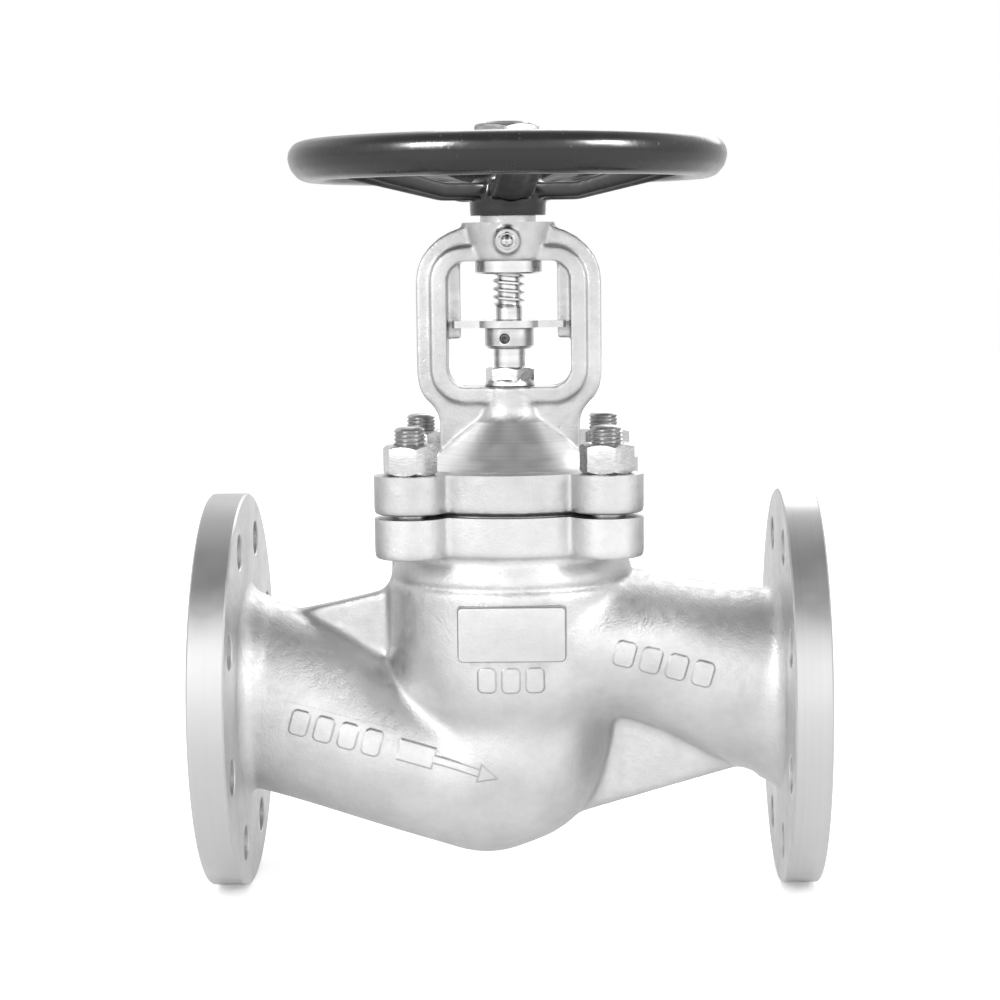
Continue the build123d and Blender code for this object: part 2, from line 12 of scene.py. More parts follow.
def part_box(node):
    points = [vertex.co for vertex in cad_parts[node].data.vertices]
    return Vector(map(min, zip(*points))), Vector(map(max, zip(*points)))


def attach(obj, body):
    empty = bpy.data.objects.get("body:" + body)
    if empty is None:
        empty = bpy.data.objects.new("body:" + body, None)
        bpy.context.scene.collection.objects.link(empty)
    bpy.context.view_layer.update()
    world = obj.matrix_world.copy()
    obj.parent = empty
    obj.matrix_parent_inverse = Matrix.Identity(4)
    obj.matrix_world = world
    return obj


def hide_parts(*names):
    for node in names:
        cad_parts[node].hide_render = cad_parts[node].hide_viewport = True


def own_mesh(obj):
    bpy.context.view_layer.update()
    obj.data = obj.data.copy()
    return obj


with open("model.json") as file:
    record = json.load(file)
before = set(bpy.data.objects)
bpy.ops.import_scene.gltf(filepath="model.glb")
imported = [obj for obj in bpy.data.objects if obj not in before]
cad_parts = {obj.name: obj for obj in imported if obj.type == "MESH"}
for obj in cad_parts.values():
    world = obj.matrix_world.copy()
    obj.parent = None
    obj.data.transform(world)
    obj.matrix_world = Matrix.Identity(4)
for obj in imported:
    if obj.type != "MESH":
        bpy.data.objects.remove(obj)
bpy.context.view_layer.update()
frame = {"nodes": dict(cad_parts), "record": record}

# ---------------------------------------------------------------- body
# The body is one stainless steel sand casting: two pipe legs, the chamber and bowl round the
# seat, webs at the middle plane and raised marks, all blasted to an even grain. Then the end
# flanges, the joint face, the bores and the holes are machined.
MM = 0.001
ports = {mount["name"]: mount for mount in frame["record"]["mounts"]}
AXIS = ports["inlet_flange_bolts"]["pos_m"][2]
BOLT_CIRCLE_R = ports["inlet_flange_bolts"]["dims"]["pcd_mm"] / 2
BOLT_HOLE_R = ports["inlet_flange_bolts"]["dims"]["hole_r_mm"]
BOLT_COUNT = ports["inlet_flange_bolts"]["dims"]["count"]
BORE_R = ports["inlet_bore"]["dims"]["r_mm"]
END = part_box("body_outlet_flange")[1].x / MM
FLANGE_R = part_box("body_outlet_flange")[1].y / MM
JOINT_TOP = (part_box("body_joint_flange")[1].z - AXIS) / MM
JOINT_BASE = (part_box("body_joint_flange")[0].z - AXIS) / MM
RAISED_FACE = 2.0
RAISED_R = 69.0
LOBE = 48.0
LOBE_R = 18.0
JOINT_CORE_R = 60.5
UPRIGHT = Matrix.Translation((0, 0, AXIS))
ALONG_PIPE = UPRIGHT @ Matrix.Rotation(radians(90), 4, "Y")
FACING_FRONT = UPRIGHT @ Matrix.Rotation(radians(90), 4, "X")


def solid(name, bm):
    """Object made from a closed bmesh, with merged points and faces turned outwards."""
    bmesh.ops.remove_doubles(bm, verts=bm.verts, dist=1e-6)
    bmesh.ops.recalc_face_normals(bm, faces=bm.faces)
    mesh = bpy.data.meshes.new(name)
    bm.to_mesh(mesh)
    bm.free()
    piece = bpy.data.objects.new(name, mesh)
    bpy.context.scene.collection.objects.link(piece)
    return piece


def baked(piece):
    """Applies a piece's modifiers to its mesh."""
    bpy.context.view_layer.update()
    mesh = bpy.data.meshes.new_from_object(piece.evaluated_get(bpy.context.evaluated_depsgraph_get()))
    piece.modifiers.clear()
    old = piece.data
    piece.data = mesh
    bpy.data.meshes.remove(old)
    return piece


def modified(piece, kind, **settings):
    """Adds one modifier with its settings and applies it."""
    step = piece.modifiers.new(kind.lower(), kind)
    for key, value in settings.items():
        setattr(step, key, value)
    return baked(piece)


def joined(name, pieces):
    """One object holding the meshes of several, which are used up."""
    bm = bmesh.new()
    for piece in pieces:
        bm.from_mesh(piece.data)
        bpy.data.objects.remove(piece)
    mesh = bpy.data.meshes.new(name)
    bm.to_mesh(mesh)
    bm.free()
    piece = bpy.data.objects.new(name, mesh)
    bpy.context.scene.collection.objects.link(piece)
    return piece


def combined(piece, operation, *tools):
    """Adds to, cuts or trims a piece with closed tools, which are used up."""
    for tool in tools:
        modified(piece, "BOOLEAN", operation=operation, solver="MANIFOLD", object=tool)
        bpy.data.objects.remove(tool)
    return piece


def cast_skin(piece, voxel, rounds):
    """Welds overlapping shells into one skin and softens its edges into casting fillets."""
    modified(piece, "REMESH", mode="VOXEL", voxel_size=voxel * MM)
    if rounds:
        modified(piece, "SMOOTH", factor=0.5, iterations=rounds)
    return piece


def thinned(piece, triangles):
    """Collapses a dense skin to about a number of triangles."""
    count = 2 * len(piece.data.polygons)
    if count > triangles:
        modified(piece, "DECIMATE", ratio=triangles / count)
    return piece


def turned(name, profile, place=UPRIGHT, segments=128):
    """Closed solid spun from a profile of (radius, height) in millimetres."""
    bm = bmesh.new()
    verts = [bm.verts.new((radius * MM, 0, height * MM)) for radius, height in profile]
    edges = [bm.edges.new(pair) for pair in zip(verts, verts[1:] + verts[:1])]
    bmesh.ops.spin(
        bm, geom=verts + edges, cent=(0, 0, 0), axis=(0, 0, 1), angle=tau, steps=segments, use_merge=True
    )
    bmesh.ops.transform(bm, matrix=place, verts=bm.verts)
    bmesh.ops.remove_doubles(bm, verts=bm.verts, dist=1e-6)
    bmesh.ops.dissolve_degenerate(bm, dist=1e-7, edges=bm.edges)
    return solid(name, bm)


def prism(name, outline, low, high, place=UPRIGHT, corner=0.0):
    """Solid with a flat outline in millimetres, from one height to another."""
    bm = bmesh.new()
    verts = [bm.verts.new((x * MM, y * MM, low * MM)) for x, y in outline]
    face = bm.faces.new(verts)
    if corner:
        bmesh.ops.bevel(
            bm, geom=verts, offset=corner * MM, segments=8, profile=0.5, affect="VERTICES", material=-1
        )
        face = bm.faces[:][0]
    grown = bmesh.ops.extrude_face_region(bm, geom=[face])["geom"]
    moved = [part for part in grown if isinstance(part, bmesh.types.BMVert)]
    bmesh.ops.translate(bm, vec=(0, 0, (high - low) * MM), verts=moved)
    bmesh.ops.transform(bm, matrix=place, verts=bm.verts)
    return solid(name, bm)


def upright_plate(name, outline, half_thick, corner=0.0):
    """Plate at the middle plane with its outline given as (x, height above the pipe axis)."""
    return prism(name, outline, -half_thick, half_thick, FACING_FRONT, corner)


def ball(name, centre, radius):
    """Sphere with its centre in millimetres, counted from the pipe axis."""
    bm = bmesh.new()
    bmesh.ops.create_icosphere(bm, subdivisions=5, radius=radius * MM)
    bmesh.ops.transform(bm, matrix=UPRIGHT @ Matrix.Translation(Vector(centre) * MM), verts=bm.verts)
    return solid(name, bm)


def pipe_leg(name, stations, steps=36, segments=72):
    """Closed tube through ellipses: x, height, dip towards +X, half height and half width."""
    matrices = []
    for step in range(steps + 1):
        place = step / steps * (len(stations) - 1)
        index = min(int(place), len(stations) - 2)
        t = place - index
        around = [stations[max(0, min(len(stations) - 1, index + k))] for k in (-1, 0, 1, 2)]
        x, z, dip, tall, wide = (
            0.5
            * (
                2 * b
                + (c - a) * t
                + (2 * a - 5 * b + 4 * c - d) * t * t
                + (3 * b - a - 3 * c + d) * t**3
            )
            for a, b, c, d in zip(*around)
        )
        turn = Matrix.Rotation(radians(90 + dip), 4, "Y")
        size = Matrix.Diagonal((tall * MM, wide * MM, 1, 1))
        matrices.append(UPRIGHT @ Matrix.Translation((x * MM, 0, z * MM)) @ turn @ size)
    bm = bmesh.new()
    made = bmesh.ops.create_circle(bm, cap_ends=True, segments=segments, radius=1, matrix=matrices[0])
    ring = made["verts"]
    edges = list({edge for vert in ring for edge in vert.link_edges})
    for before, after in zip(matrices, matrices[1:]):
        grown = bmesh.ops.extrude_edge_only(bm, edges=edges)["geom"]
        ring = [part for part in grown if isinstance(part, bmesh.types.BMVert)]
        edges = [part for part in grown if isinstance(part, bmesh.types.BMEdge)]
        bmesh.ops.transform(bm, matrix=after @ before.inverted(), verts=ring)
    bmesh.ops.contextual_create(bm, geom=edges)
    return solid(name, bm)


def end_roots():
    """Flared discs behind the end flanges, which give the pipe legs their fillets."""
    flare = [(0, 124), (47, 124), (49.5, 131), (55, 136), (80, 136), (80, 150), (0, 150)]
    return [
        turned("root", [(radius, side * along) for radius, along in flare], ALONG_PIPE) for side in (-1, 1)
    ]


def joint_blank(name, low, high):
    """Round blank with a lobe at each stud, its edges softened as cast."""
    blocks = [turned(name, [(0, low), (JOINT_CORE_R, low), (JOINT_CORE_R, high), (0, high)])]
    for x in (-LOBE, LOBE):
        for y in (-LOBE, LOBE):
            place = UPRIGHT @ Matrix.Translation((x * MM, y * MM, 0))
            blocks.append(turned(name, [(0, low), (LOBE_R, low), (LOBE_R, high), (0, high)], place, 64))
    return cast_skin(joined(name, blocks), 1.3, 14)


def mark_tool(outline, x, height, turn, corner):
    """Prism that stamps a mark out of the casting's front skin."""
    place = FACING_FRONT @ Matrix.Translation((x * MM, height * MM, 0))
    return prism("mark", outline, 15, 110, place @ Matrix.Rotation(radians(turn), 4, "Z"), corner)


def raise_marks(casting, proud, tools):
    """Adds flat-sided marks that follow the casting's surface and stand proud of it."""
    skin = casting.copy()
    skin.data = casting.data.copy()
    bpy.context.scene.collection.objects.link(skin)
    modified(skin, "DISPLACE", strength=proud * MM, mid_level=0)
    combined(casting, "UNION", combined(skin, "INTERSECT", joined("marks", tools)))


def rectangle(width, height, x=0.0):
    """Corners of a flat rectangle, with its middle at x."""
    return [
        (x - width / 2, -height / 2),
        (x + width / 2, -height / 2),
        (x + width / 2, height / 2),
        (x - width / 2, height / 2),
    ]


def mark_row(x, height, turn, count, pitch, width):
    """Row of blank tiles in place of cast lettering."""
    starts = [(k - (count - 1) / 2) * pitch for k in range(count)]
    return [mark_tool(rectangle(width, TILE_TALL, start), x, height, turn, TILE_CORNER) for start in starts]


INLET = [
    (-143, 0, 0, 47.5, 47.5),
    (-127, -3, 10, 48, 48),
    (-100, -14.5, 23, 44.5, 47.5),
    (-66, -30, 21, 39.5, 49),
    (-22, -41, 8, 42.5, 47),
]
INLET_BORE = [
    (-157, 0, 0, BORE_R, BORE_R),
    (-135, 0, 0, BORE_R, BORE_R),
    (-124, -3.5, 14, 39.5, 40),
    (-100, -14.5, 24, 37, 40),
    (-66, -30, 22, 32, 41),
    (-22, -41.5, 8, 35, 42),
]
OUTLET = [
    (8, 27, 0, 34, 57.5),
    (36, 25.5, 7, 36, 56),
    (62, 22.5, 14, 37.5, 51.5),
    (88, 15.5, 18, 39.5, 47.8),
    (112, 7.5, 17, 44, 47.2),
    (127, 2.8, 10, 47, 47.8),
    (143, 0, 0, 47.5, 47.5),
]
OUTLET_BORE = [
    (38, 30, 0, 19.5, 34),
    (62, 22.5, 14, 29.5, 36.5),
    (88, 15.5, 18, 31.5, 37.5),
    (112, 7.5, 17, 36, 38.5),
    (125, 3, 12, 39, 39.5),
    (135, 0, 0, BORE_R, BORE_R),
    (157, 0, 0, BORE_R, BORE_R),
]
LEFT_WEB = [(-122, 30), (-113, 40), (-88.5, 45), (-66, 50.3), (-61.5, 56), (-61, 74), (-40, 74), (-40, 0)]
RIGHT_WEB = [(24, -68), (31, -66.4), (119, -41), (128, -30), (60, 5), (10, -30)]
ARROW = [
    (-1.7, 4.7),
    (0, 0),
    (-1.7, -4.7),
    (17, -5.2),
    (21.5, -2.1),
    (40.3, -1.6),
    (41, -4.6),
    (50, 0),
    (41, 4.6),
    (40.3, 1.6),
    (21.5, 2.1),
    (17, 5.2),
]
CHAMBER_R = 62.5
BOWL = (-4, 0, -30)
CHAMBER_SHELL = [
    (0, -18),
    (46, -18),
    (52, -11),
    (57, -3),
    (60.5, 6),
    (62.4, 15),
    (CHAMBER_R, 24),
    (CHAMBER_R, 55),
    (0, 55),
]
NECK = [
    (0, 50),
    (60.2, 50),
    (60.2, 58.4),
    (61.0, 59.6),
    (60.6, 62.5),
    (59.4, 66),
    (58.2, 69),
    (58.2, 76),
    (0, 76),
]

shells = [
    pipe_leg("inlet", INLET),
    pipe_leg("outlet", OUTLET),
    ball("bowl", BOWL, 51.6),
    ball("heel", (-14, 0, -36), 49.6),
    turned("throat", [(0, -30), (50, -30), (50, 5), (0, 5)]),
    turned("chamber", CHAMBER_SHELL),
]
pressure_skin = cast_skin(joined("shells", shells), 1.9, 60)
webs = [upright_plate("left_web", LEFT_WEB, 5.2), upright_plate("right_web", RIGHT_WEB, 5.2)]
chamber = turned("chamber", [(0, 24), (CHAMBER_R, 24), (CHAMBER_R, 54), (61.8, 57.4), (0, 57.4)])
core = cast_skin(joined("core", [pressure_skin, chamber, *webs, *end_roots()]), 1.5, 20)
details = [
    turned("neck", NECK),
    joint_blank("joint", JOINT_BASE, JOINT_TOP + 8),
]
body = thinned(cast_skin(joined("body_casting", [core, *details]), 1.05, 4), 140000)
PAD_X = 1.0
PAD_RISE = 36.8
PAD_SIZE = (52.6, 27.0)
PAD_CORNER = 2.5
pad_place = FACING_FRONT @ Matrix.Translation((PAD_X * MM, PAD_RISE * MM, 0))
pad = prism("pad", rectangle(*PAD_SIZE), 50, 65.2, pad_place, PAD_CORNER)
modified(pad, "BEVEL", width=0.6 * MM, segments=3)
combined(body, "UNION", pad)
TILE_TALL = 12.4
TILE_CORNER = 2.6
# each row is x, height, turn in degrees, count, pitch and width
TILE_ROWS = [
    (-87.0, -14.3, -15.6, 4, 12.4, 9.0),
    (0.3, 13.6, 0.0, 3, 11.8, 8.8),
    (75.3, 19.3, -15.8, 4, 13.3, 9.8),
]
TABLET_PLACE = (-86.5, -14.5, -15.6)
TABLET_SIZE = (56.0, 17.5)
ARROW_PLACE = (-55.4, -22.8, -16.8)
raise_marks(body, 0.4, [mark_tool(rectangle(*TABLET_SIZE), *TABLET_PLACE, 1.0)])
tiles = [mark_tool(ARROW, *ARROW_PLACE, 0.0)]
for row in TILE_ROWS:
    tiles += mark_row(*row)
raise_marks(body, 1.0, tiles)
end_disc = [
    (0, 131),
    (44, 131),
    (44, 135),
    (FLANGE_R - 0.8, 135),
    (FLANGE_R, 135.8),
    (FLANGE_R, END - RAISED_FACE - 0.8),
    (FLANGE_R - 0.8, END - RAISED_FACE),
    (RAISED_R + 0.4, END - RAISED_FACE),
    (RAISED_R, END - RAISED_FACE + 0.4),
    (RAISED_R, END - 0.3),
    (RAISED_R - 0.3, END),
    (0, END),
]
for side in (1, -1):
    flange = turned("end_flange", [(radius, side * along) for radius, along in end_disc], ALONG_PIPE, 256)
    combined(body, "UNION", flange)
# the facing cut leaves the joint flat at its height, and everything above it goes
combined(body, "DIFFERENCE", turned("facing", [(0, JOINT_TOP), (95, JOINT_TOP), (95, 130), (0, 130)]))
combined(body, "DIFFERENCE", pipe_leg("inlet_bore", INLET_BORE), pipe_leg("outlet_bore", OUTLET_BORE))
combined(body, "DIFFERENCE", ball("bowl_bore", BOWL, 43.5))
SEAT_BORE = [(0, -30), (39, -30), (39, 2), (46, 2), (46, 10), (54.5, 10), (54.5, 54)]
NECK_BORE = [
    (50, 62), (50, 88.7), (55.5, 88.7), (55.5, JOINT_TOP - 0.5), (56, JOINT_TOP), (56, 100), (0, 100)
]
combined(body, "DIFFERENCE", turned("chamber_bore", SEAT_BORE + NECK_BORE))
for side in (-1, 1):
    for k in range(BOLT_COUNT):
        angle = radians(360 / BOLT_COUNT * (k + 0.5))
        y, z = BOLT_CIRCLE_R * cos(angle), BOLT_CIRCLE_R * sin(angle)
        place = Matrix.Translation((0, y * MM, z * MM)) @ ALONG_PIPE
        near, far = side * 134, side * (END - RAISED_FACE + 1)
        drill = [(0, near), (BOLT_HOLE_R + 1.5, near), (BOLT_HOLE_R, near + side * 1.5)]
        drill += [(BOLT_HOLE_R, far - side * 1.5), (BOLT_HOLE_R + 1.5, far), (0, far)]
        combined(body, "DIFFERENCE", turned("drill", drill, place, 64))
for x in (-LOBE, LOBE):
    for y in (-LOBE, LOBE):
        place = UPRIGHT @ Matrix.Translation((x * MM, y * MM, 0))
        tap = [(0, 76), (8.05, 76), (8.05, JOINT_TOP - 0.6), (8.8, JOINT_TOP + 0.2), (0, JOINT_TOP + 0.2)]
        combined(body, "DIFFERENCE", turned("tap", tap, place, 48))


def edged(piece, angle=35.0):
    """Smooth shading with the piece's real corners kept sharp."""
    for polygon in piece.data.polygons:
        polygon.use_smooth = True
    piece.data.set_sharp_from_angle(angle=radians(angle))
    return piece


def node(tree, kind, values=(), **settings):
    """Adds a shader node, with settings and with numbers or links for its sockets."""
    made = tree.nodes.new("ShaderNode" + kind)
    for key, value in settings.items():
        setattr(made, key, value)
    for socket, value in dict(values).items():
        if isinstance(value, bpy.types.NodeSocket):
            tree.links.new(value, made.inputs[socket])
        else:
            made.inputs[socket].default_value = value
    return made


def finish_of(name, metallic, **constants):
    """New material: returns it, its node tree and its shader with the constant sockets set."""
    material = bpy.data.materials.new(name)
    material.use_nodes = True
    shader = material.node_tree.nodes["Principled BSDF"]
    shader.inputs["Metallic"].default_value = metallic
    for socket, value in constants.items():
        shader.inputs[socket.replace("_", " ")].default_value = value
    return material, material.node_tree, shader


def place_of(tree):
    return node(tree, "TexCoord").outputs["Object"]


def noise(tree, vector, scale, detail=2.0):
    made = node(tree, "TexNoise", {"Vector": vector, "Scale": scale, "Detail": detail, "Roughness": 0.55})
    return made.outputs["Fac"]


def spread(tree, value, low, high, start=0.35, stop=0.65):
    """Spreads a pattern's middle range between two values."""
    sockets = {"Value": value, "From Min": start, "From Max": stop, "To Min": low, "To Max": high}
    return node(tree, "MapRange", sockets).outputs["Result"]


def tinted(tree, factor, dark, light):
    made = node(tree, "Mix", {0: factor, 6: (*dark, 1), 7: (*light, 1)}, data_type="RGBA")
    return made.outputs[2]


def embossed(tree, height, depth, strength=1.0, under=None):
    """Bump of a given depth in metres, over another one if there is one."""
    sockets = {"Height": height, "Distance": depth, "Strength": strength}
    if under:
        sockets["Normal"] = under
    return node(tree, "Bump", sockets).outputs["Normal"]


def grey(value):
    return (value, value, value)


def set_finish(tree, shader, colour, roughness, normal):
    for socket, value in (("Base Color", colour), ("Roughness", roughness), ("Normal", normal)):
        tree.links.new(value, shader.inputs[socket])


def blasted_steel(name, dark, light, rough=0.0):
    """Cast steel blasted to a satin grain, with soft lumps, small pits and faint clouding."""
    material, tree, shader = finish_of(name, 1.0)
    where = place_of(tree)
    grain = noise(tree, where, 900, 3)
    lumps = noise(tree, where, 210, 3)
    clouds = noise(tree, where, 38, 4)
    pits = spread(tree, noise(tree, where, 420, 2), 0, 1, 0.24, 0.32)
    normal = embossed(tree, lumps, 0.0004 + rough * 0.0006, 0.5)
    normal = embossed(tree, grain, 0.0003, 0.6, normal)
    normal = embossed(tree, pits, 0.00006 + rough * 0.0004, 0.5, normal)
    colour = tinted(tree, spread(tree, clouds, 0, 1), grey(dark), grey(light))
    set_finish(tree, shader, colour, spread(tree, lumps, 0.40, 0.54), normal)
    return material


def turned_steel(name, dark, light, gloss=0.26, upright=True, coarse=0.0):
    """Machined steel with the fine rings that a tool leaves round the axis it turned on."""
    material, tree, shader = finish_of(name, 1.0)
    where = place_of(tree)
    split = node(tree, "SeparateXYZ", {"Vector": where}).outputs
    first, second, along = (split[axis] for axis in ("XYZ" if upright else "YZX"))
    if not upright:
        second = node(tree, "Math", {0: second, 1: AXIS}, operation="SUBTRACT").outputs[0]
    flat = node(tree, "CombineXYZ", {"X": first, "Y": second}).outputs[0]
    radius = node(tree, "VectorMath", {0: flat}, operation="LENGTH").outputs["Value"]
    ringed = node(tree, "CombineXYZ", {"X": along, "Y": radius}).outputs[0]
    rings = noise(tree, ringed, 2600 - coarse * 1500, 3)
    bands = noise(tree, ringed, 240, 2)
    smudge = noise(tree, where, 45, 3)
    normal = embossed(tree, rings, 0.00005 + coarse * 0.00016, 0.5)
    normal = embossed(tree, noise(tree, where, 900, 2), 0.00003, 0.4, normal)
    colour = tinted(tree, spread(tree, bands, 0, 1), grey(dark), grey(light))
    set_finish(tree, shader, colour, spread(tree, smudge, gloss - 0.04, gloss + 0.06), normal)
    return material


def clad(piece, *materials):
    """Gives a piece its finishes, in place of the empty slots that combining can leave."""
    piece.data.materials.clear()
    for material in materials:
        piece.data.materials.append(material)


def faced(piece, index, test):
    """Gives a slot to the faces whose middle, in millimetres from where the axes cross, passes a test."""
    for polygon in piece.data.polygons:
        x, y, z = polygon.center
        if test(x / MM, y / MM, (z - AXIS) / MM):
            polygon.material_index = index


def calc(tree, operation, *values):
    return node(tree, "Math", dict(enumerate(values)), operation=operation).outputs[0]


def turned_place(tree, where, x, height, turn):
    """Distances in millimetres along and across a mark's own axes."""
    sockets = {"Vector": where, "Location": (x * MM, 0, AXIS + height * MM), "Scale": (MM, MM, MM)}
    sockets["Rotation"] = (0, radians(-turn), 0)
    local = node(tree, "Mapping", sockets, vector_type="TEXTURE").outputs[0]
    split = node(tree, "SeparateXYZ", {"Vector": local}).outputs
    return split["X"], split["Z"]


# the pitch given to a tile on its own, and the arrow's tip and barbs along its own axis
ALONE = 90.0
ARROW_TIP = 50.0
ARROW_BARB = 41.0


def tile_distance(tree, along, across, count, pitch, width, tall, corner):
    """Distance outside the nearest of a row of rounded tiles, in millimetres, and negative inside it."""
    steps = calc(tree, "MULTIPLY_ADD", along, 1 / pitch, (count - 1) / 2)
    nearest = calc(tree, "MINIMUM", calc(tree, "MAXIMUM", calc(tree, "ROUND", steps), 0.0), count - 1.0)
    offset = calc(tree, "MULTIPLY", calc(tree, "SUBTRACT", steps, nearest), pitch)
    past_side = calc(tree, "SUBTRACT", calc(tree, "ABSOLUTE", offset), width / 2 - corner)
    past_top = calc(tree, "SUBTRACT", calc(tree, "ABSOLUTE", across), tall / 2 - corner)
    beyond = {"X": calc(tree, "MAXIMUM", past_side, 0.0), "Y": calc(tree, "MAXIMUM", past_top, 0.0)}
    outside = node(tree, "VectorMath", {0: node(tree, "CombineXYZ", beyond).outputs[0]}, operation="LENGTH")
    inside = calc(tree, "MINIMUM", calc(tree, "MAXIMUM", past_side, past_top), 0.0)
    return calc(tree, "SUBTRACT", calc(tree, "ADD", outside.outputs["Value"], inside), corner)


def marked(material):
    """Rounds the edges of the cast marks on the front with a bump, and paints a thin dark line of shade
    along their outlines.
    """
    tree = material.node_tree
    shader = tree.nodes["Principled BSDF"]
    where = place_of(tree)
    local = turned_place(tree, where, PAD_X, PAD_RISE, 0)
    shapes = [tile_distance(tree, *local, 1, ALONE, *PAD_SIZE, PAD_CORNER)]
    for x, height, turn, count, pitch, width in TILE_ROWS:
        local = turned_place(tree, where, x, height, turn)
        shapes.append(tile_distance(tree, *local, count, pitch, width, TILE_TALL, TILE_CORNER))
    along, across = turned_place(tree, where, *ARROW_PLACE)
    for middle, length, width in ((8.5, 18, 10), (29.0, 24, 3.8)):
        from_middle = calc(tree, "SUBTRACT", along, middle)
        shapes.append(tile_distance(tree, from_middle, across, 1, ALONE, length, width, 0.4))
    slope = calc(tree, "MULTIPLY", calc(tree, "SUBTRACT", along, ARROW_TIP), 0.455)
    point = calc(tree, "MULTIPLY_ADD", calc(tree, "ABSOLUTE", across), 0.89, slope)
    shapes.append(calc(tree, "MAXIMUM", point, calc(tree, "SUBTRACT", ARROW_BARB, along)))
    distance = shapes[0]
    for shape in shapes[1:]:
        distance = calc(tree, "MINIMUM", distance, shape)
    front = spread(tree, node(tree, "SeparateXYZ", {"Vector": where}).outputs["Y"], 1, 0, -0.03, -0.028)
    # painted shade: a thin dark line along each mark's outline on the front, standing in for the shade at
    # the marks' edges
    line = calc(tree, "MULTIPLY", spread(tree, calc(tree, "ABSOLUTE", distance), 1, 0, 0.15, 0.7), front)
    raised = calc(tree, "MULTIPLY", spread(tree, distance, 1, 0, -0.55, 0.45), front)
    colour, normal = (shader.inputs[name].links[0].from_socket for name in ("Base Color", "Normal"))
    painted_shade = calc(tree, "MULTIPLY", line, 0.45)
    darker = node(tree, "Mix", {0: painted_shade, 6: colour, 7: (*grey(0.26), 1)}, data_type="RGBA").outputs[2]
    tree.links.new(darker, shader.inputs["Base Color"])
    tree.links.new(embossed(tree, raised, 0.0006, 0.8, normal), shader.inputs["Normal"])
    return material


def machined_body(x, y, z):
    """Tells whether a face of the body is one of those turned or bored after casting."""
    from_pipe = hypot(y, z)
    rim = abs(x) > 134.9 and from_pipe > FLANGE_R - 1.5
    end_face = abs(x) > END - RAISED_FACE - 0.2
    bore = abs(x) > 136 and from_pipe < BORE_R + 0.5
    return rim or end_face or bore or z > JOINT_TOP - 0.2


blasted_casting = marked(blasted_steel("blasted_casting", 0.56, 0.64))
clad(body, blasted_casting, turned_steel("turned_flange", 0.50, 0.525, 0.34, upright=False))
faced(body, 1, machined_body)
edged(body, 38)
BODY_NODES = [name for name in frame["nodes"] if name.startswith("body_")]
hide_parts(*BODY_NODES)
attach(body, "valve_body")

# ---------------------------------------------------------------- seat ring and plug
# The seat ring is turned and pressed into the seat wall. The disc closes on its cone, and a
# screwed ring holds the disc on the stem's button so that it can swivel as it seats.
fine_turned = turned_steel("fine_turned_steel", 0.58, 0.68, 0.22)


def dressed(name, material):
    """Gives a kept CAD node its finish."""
    piece = frame["nodes"][name]
    if not piece.material_slots:
        clad(piece, material)
    for place in piece.material_slots:
        place.material = material


for name in ("seat_ring", "disc", "disc_nut"):
    dressed(name, fine_turned)

# ---------------------------------------------------------------- stem
# Ground stainless bar: a button for the plug, a plain shaft through the bellows and packing, a
# relief groove, and a coarse left-hand trapezoidal thread, so that anticlockwise opens the valve.
STEM_R = 8.0
UNDERCUT_R = 6.6
PITCH = 4.0


def thread(name, profile, pitch, low, high, hand=1, place=UPRIGHT, steps=44):
    """Closed thread from a profile of (radius, share of the pitch), trimmed flat at both ends."""
    turns = int((high - low) / pitch) + 3
    bm = bmesh.new()
    base = low - 1.5 * pitch
    verts = [bm.verts.new((radius * MM, 0, (base + share * pitch) * MM)) for radius, share in profile]
    edges = [bm.edges.new(pair) for pair in zip(verts, verts[1:])]
    bmesh.ops.spin(
        bm,
        geom=verts + edges,
        cent=(0, 0, 0),
        axis=(0, 0, 1),
        dvec=(0, 0, pitch / steps * MM),
        angle=hand * tau * turns,
        steps=steps * turns,
    )
    bmesh.ops.remove_doubles(bm, verts=bm.verts, dist=2e-6)
    for height, side in ((low, -1), (high, 1)):
        bmesh.ops.bisect_plane(
            bm,
            geom=bm.verts[:] + bm.edges[:] + bm.faces[:],
            dist=1e-7,
            plane_co=(0, 0, height * MM),
            plane_no=(0, 0, side),
            clear_outer=True,
        )
        rim = [
            edge
            for edge in bm.edges
            if edge.is_boundary and all(abs(v.co.z - height * MM) < 1e-6 for v in edge.verts)
        ]
        bmesh.ops.triangle_fill(bm, edges=rim, use_beauty=True)
    bmesh.ops.transform(bm, matrix=place, verts=bm.verts)
    return solid(name, bm)


STEM_THREAD = [
    (5.75, 0), (5.75, 0.18), (7.5, 0.32), (7.9, 0.38), (7.9, 0.6), (7.5, 0.66), (5.75, 0.8), (5.75, 1)
]
stem = turned(
    "stem",
    [
        (0, 21.7),
        (9.4, 21.7),
        (10, 22.3),
        (10, 29.4),
        (9.4, 30),
        (STEM_R, 30),
        (STEM_R, 186.9),
        (STEM_R - 0.5, 187.5),
        (UNDERCUT_R, 187.5),
        (UNDERCUT_R, 192.9),
        (5.7, 195.5),
        (5.7, 246),
        (0, 246),
    ],
    segments=96,
)
screw = thread("screw", STEM_THREAD, PITCH, 192.9, 245.6, hand=-1)
taper = [(0, 191), (UNDERCUT_R, 191), (UNDERCUT_R, 193.2), (7.9, 196), (7.9, 244.6), (6.6, 246), (0, 246)]
combined(screw, "INTERSECT", turned("taper", taper, segments=96))
combined(stem, "UNION", screw)
flat_cut = [(-12, 6.8), (12, 6.8), (12, 14), (-12, 14)]
combined(stem, "DIFFERENCE", prism("flat", flat_cut, 183.5, 187.6))
clad(stem, turned_steel("ground_stem", 0.52, 0.66, 0.24))
edged(stem, 32)
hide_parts("stem")
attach(stem, "spindle")

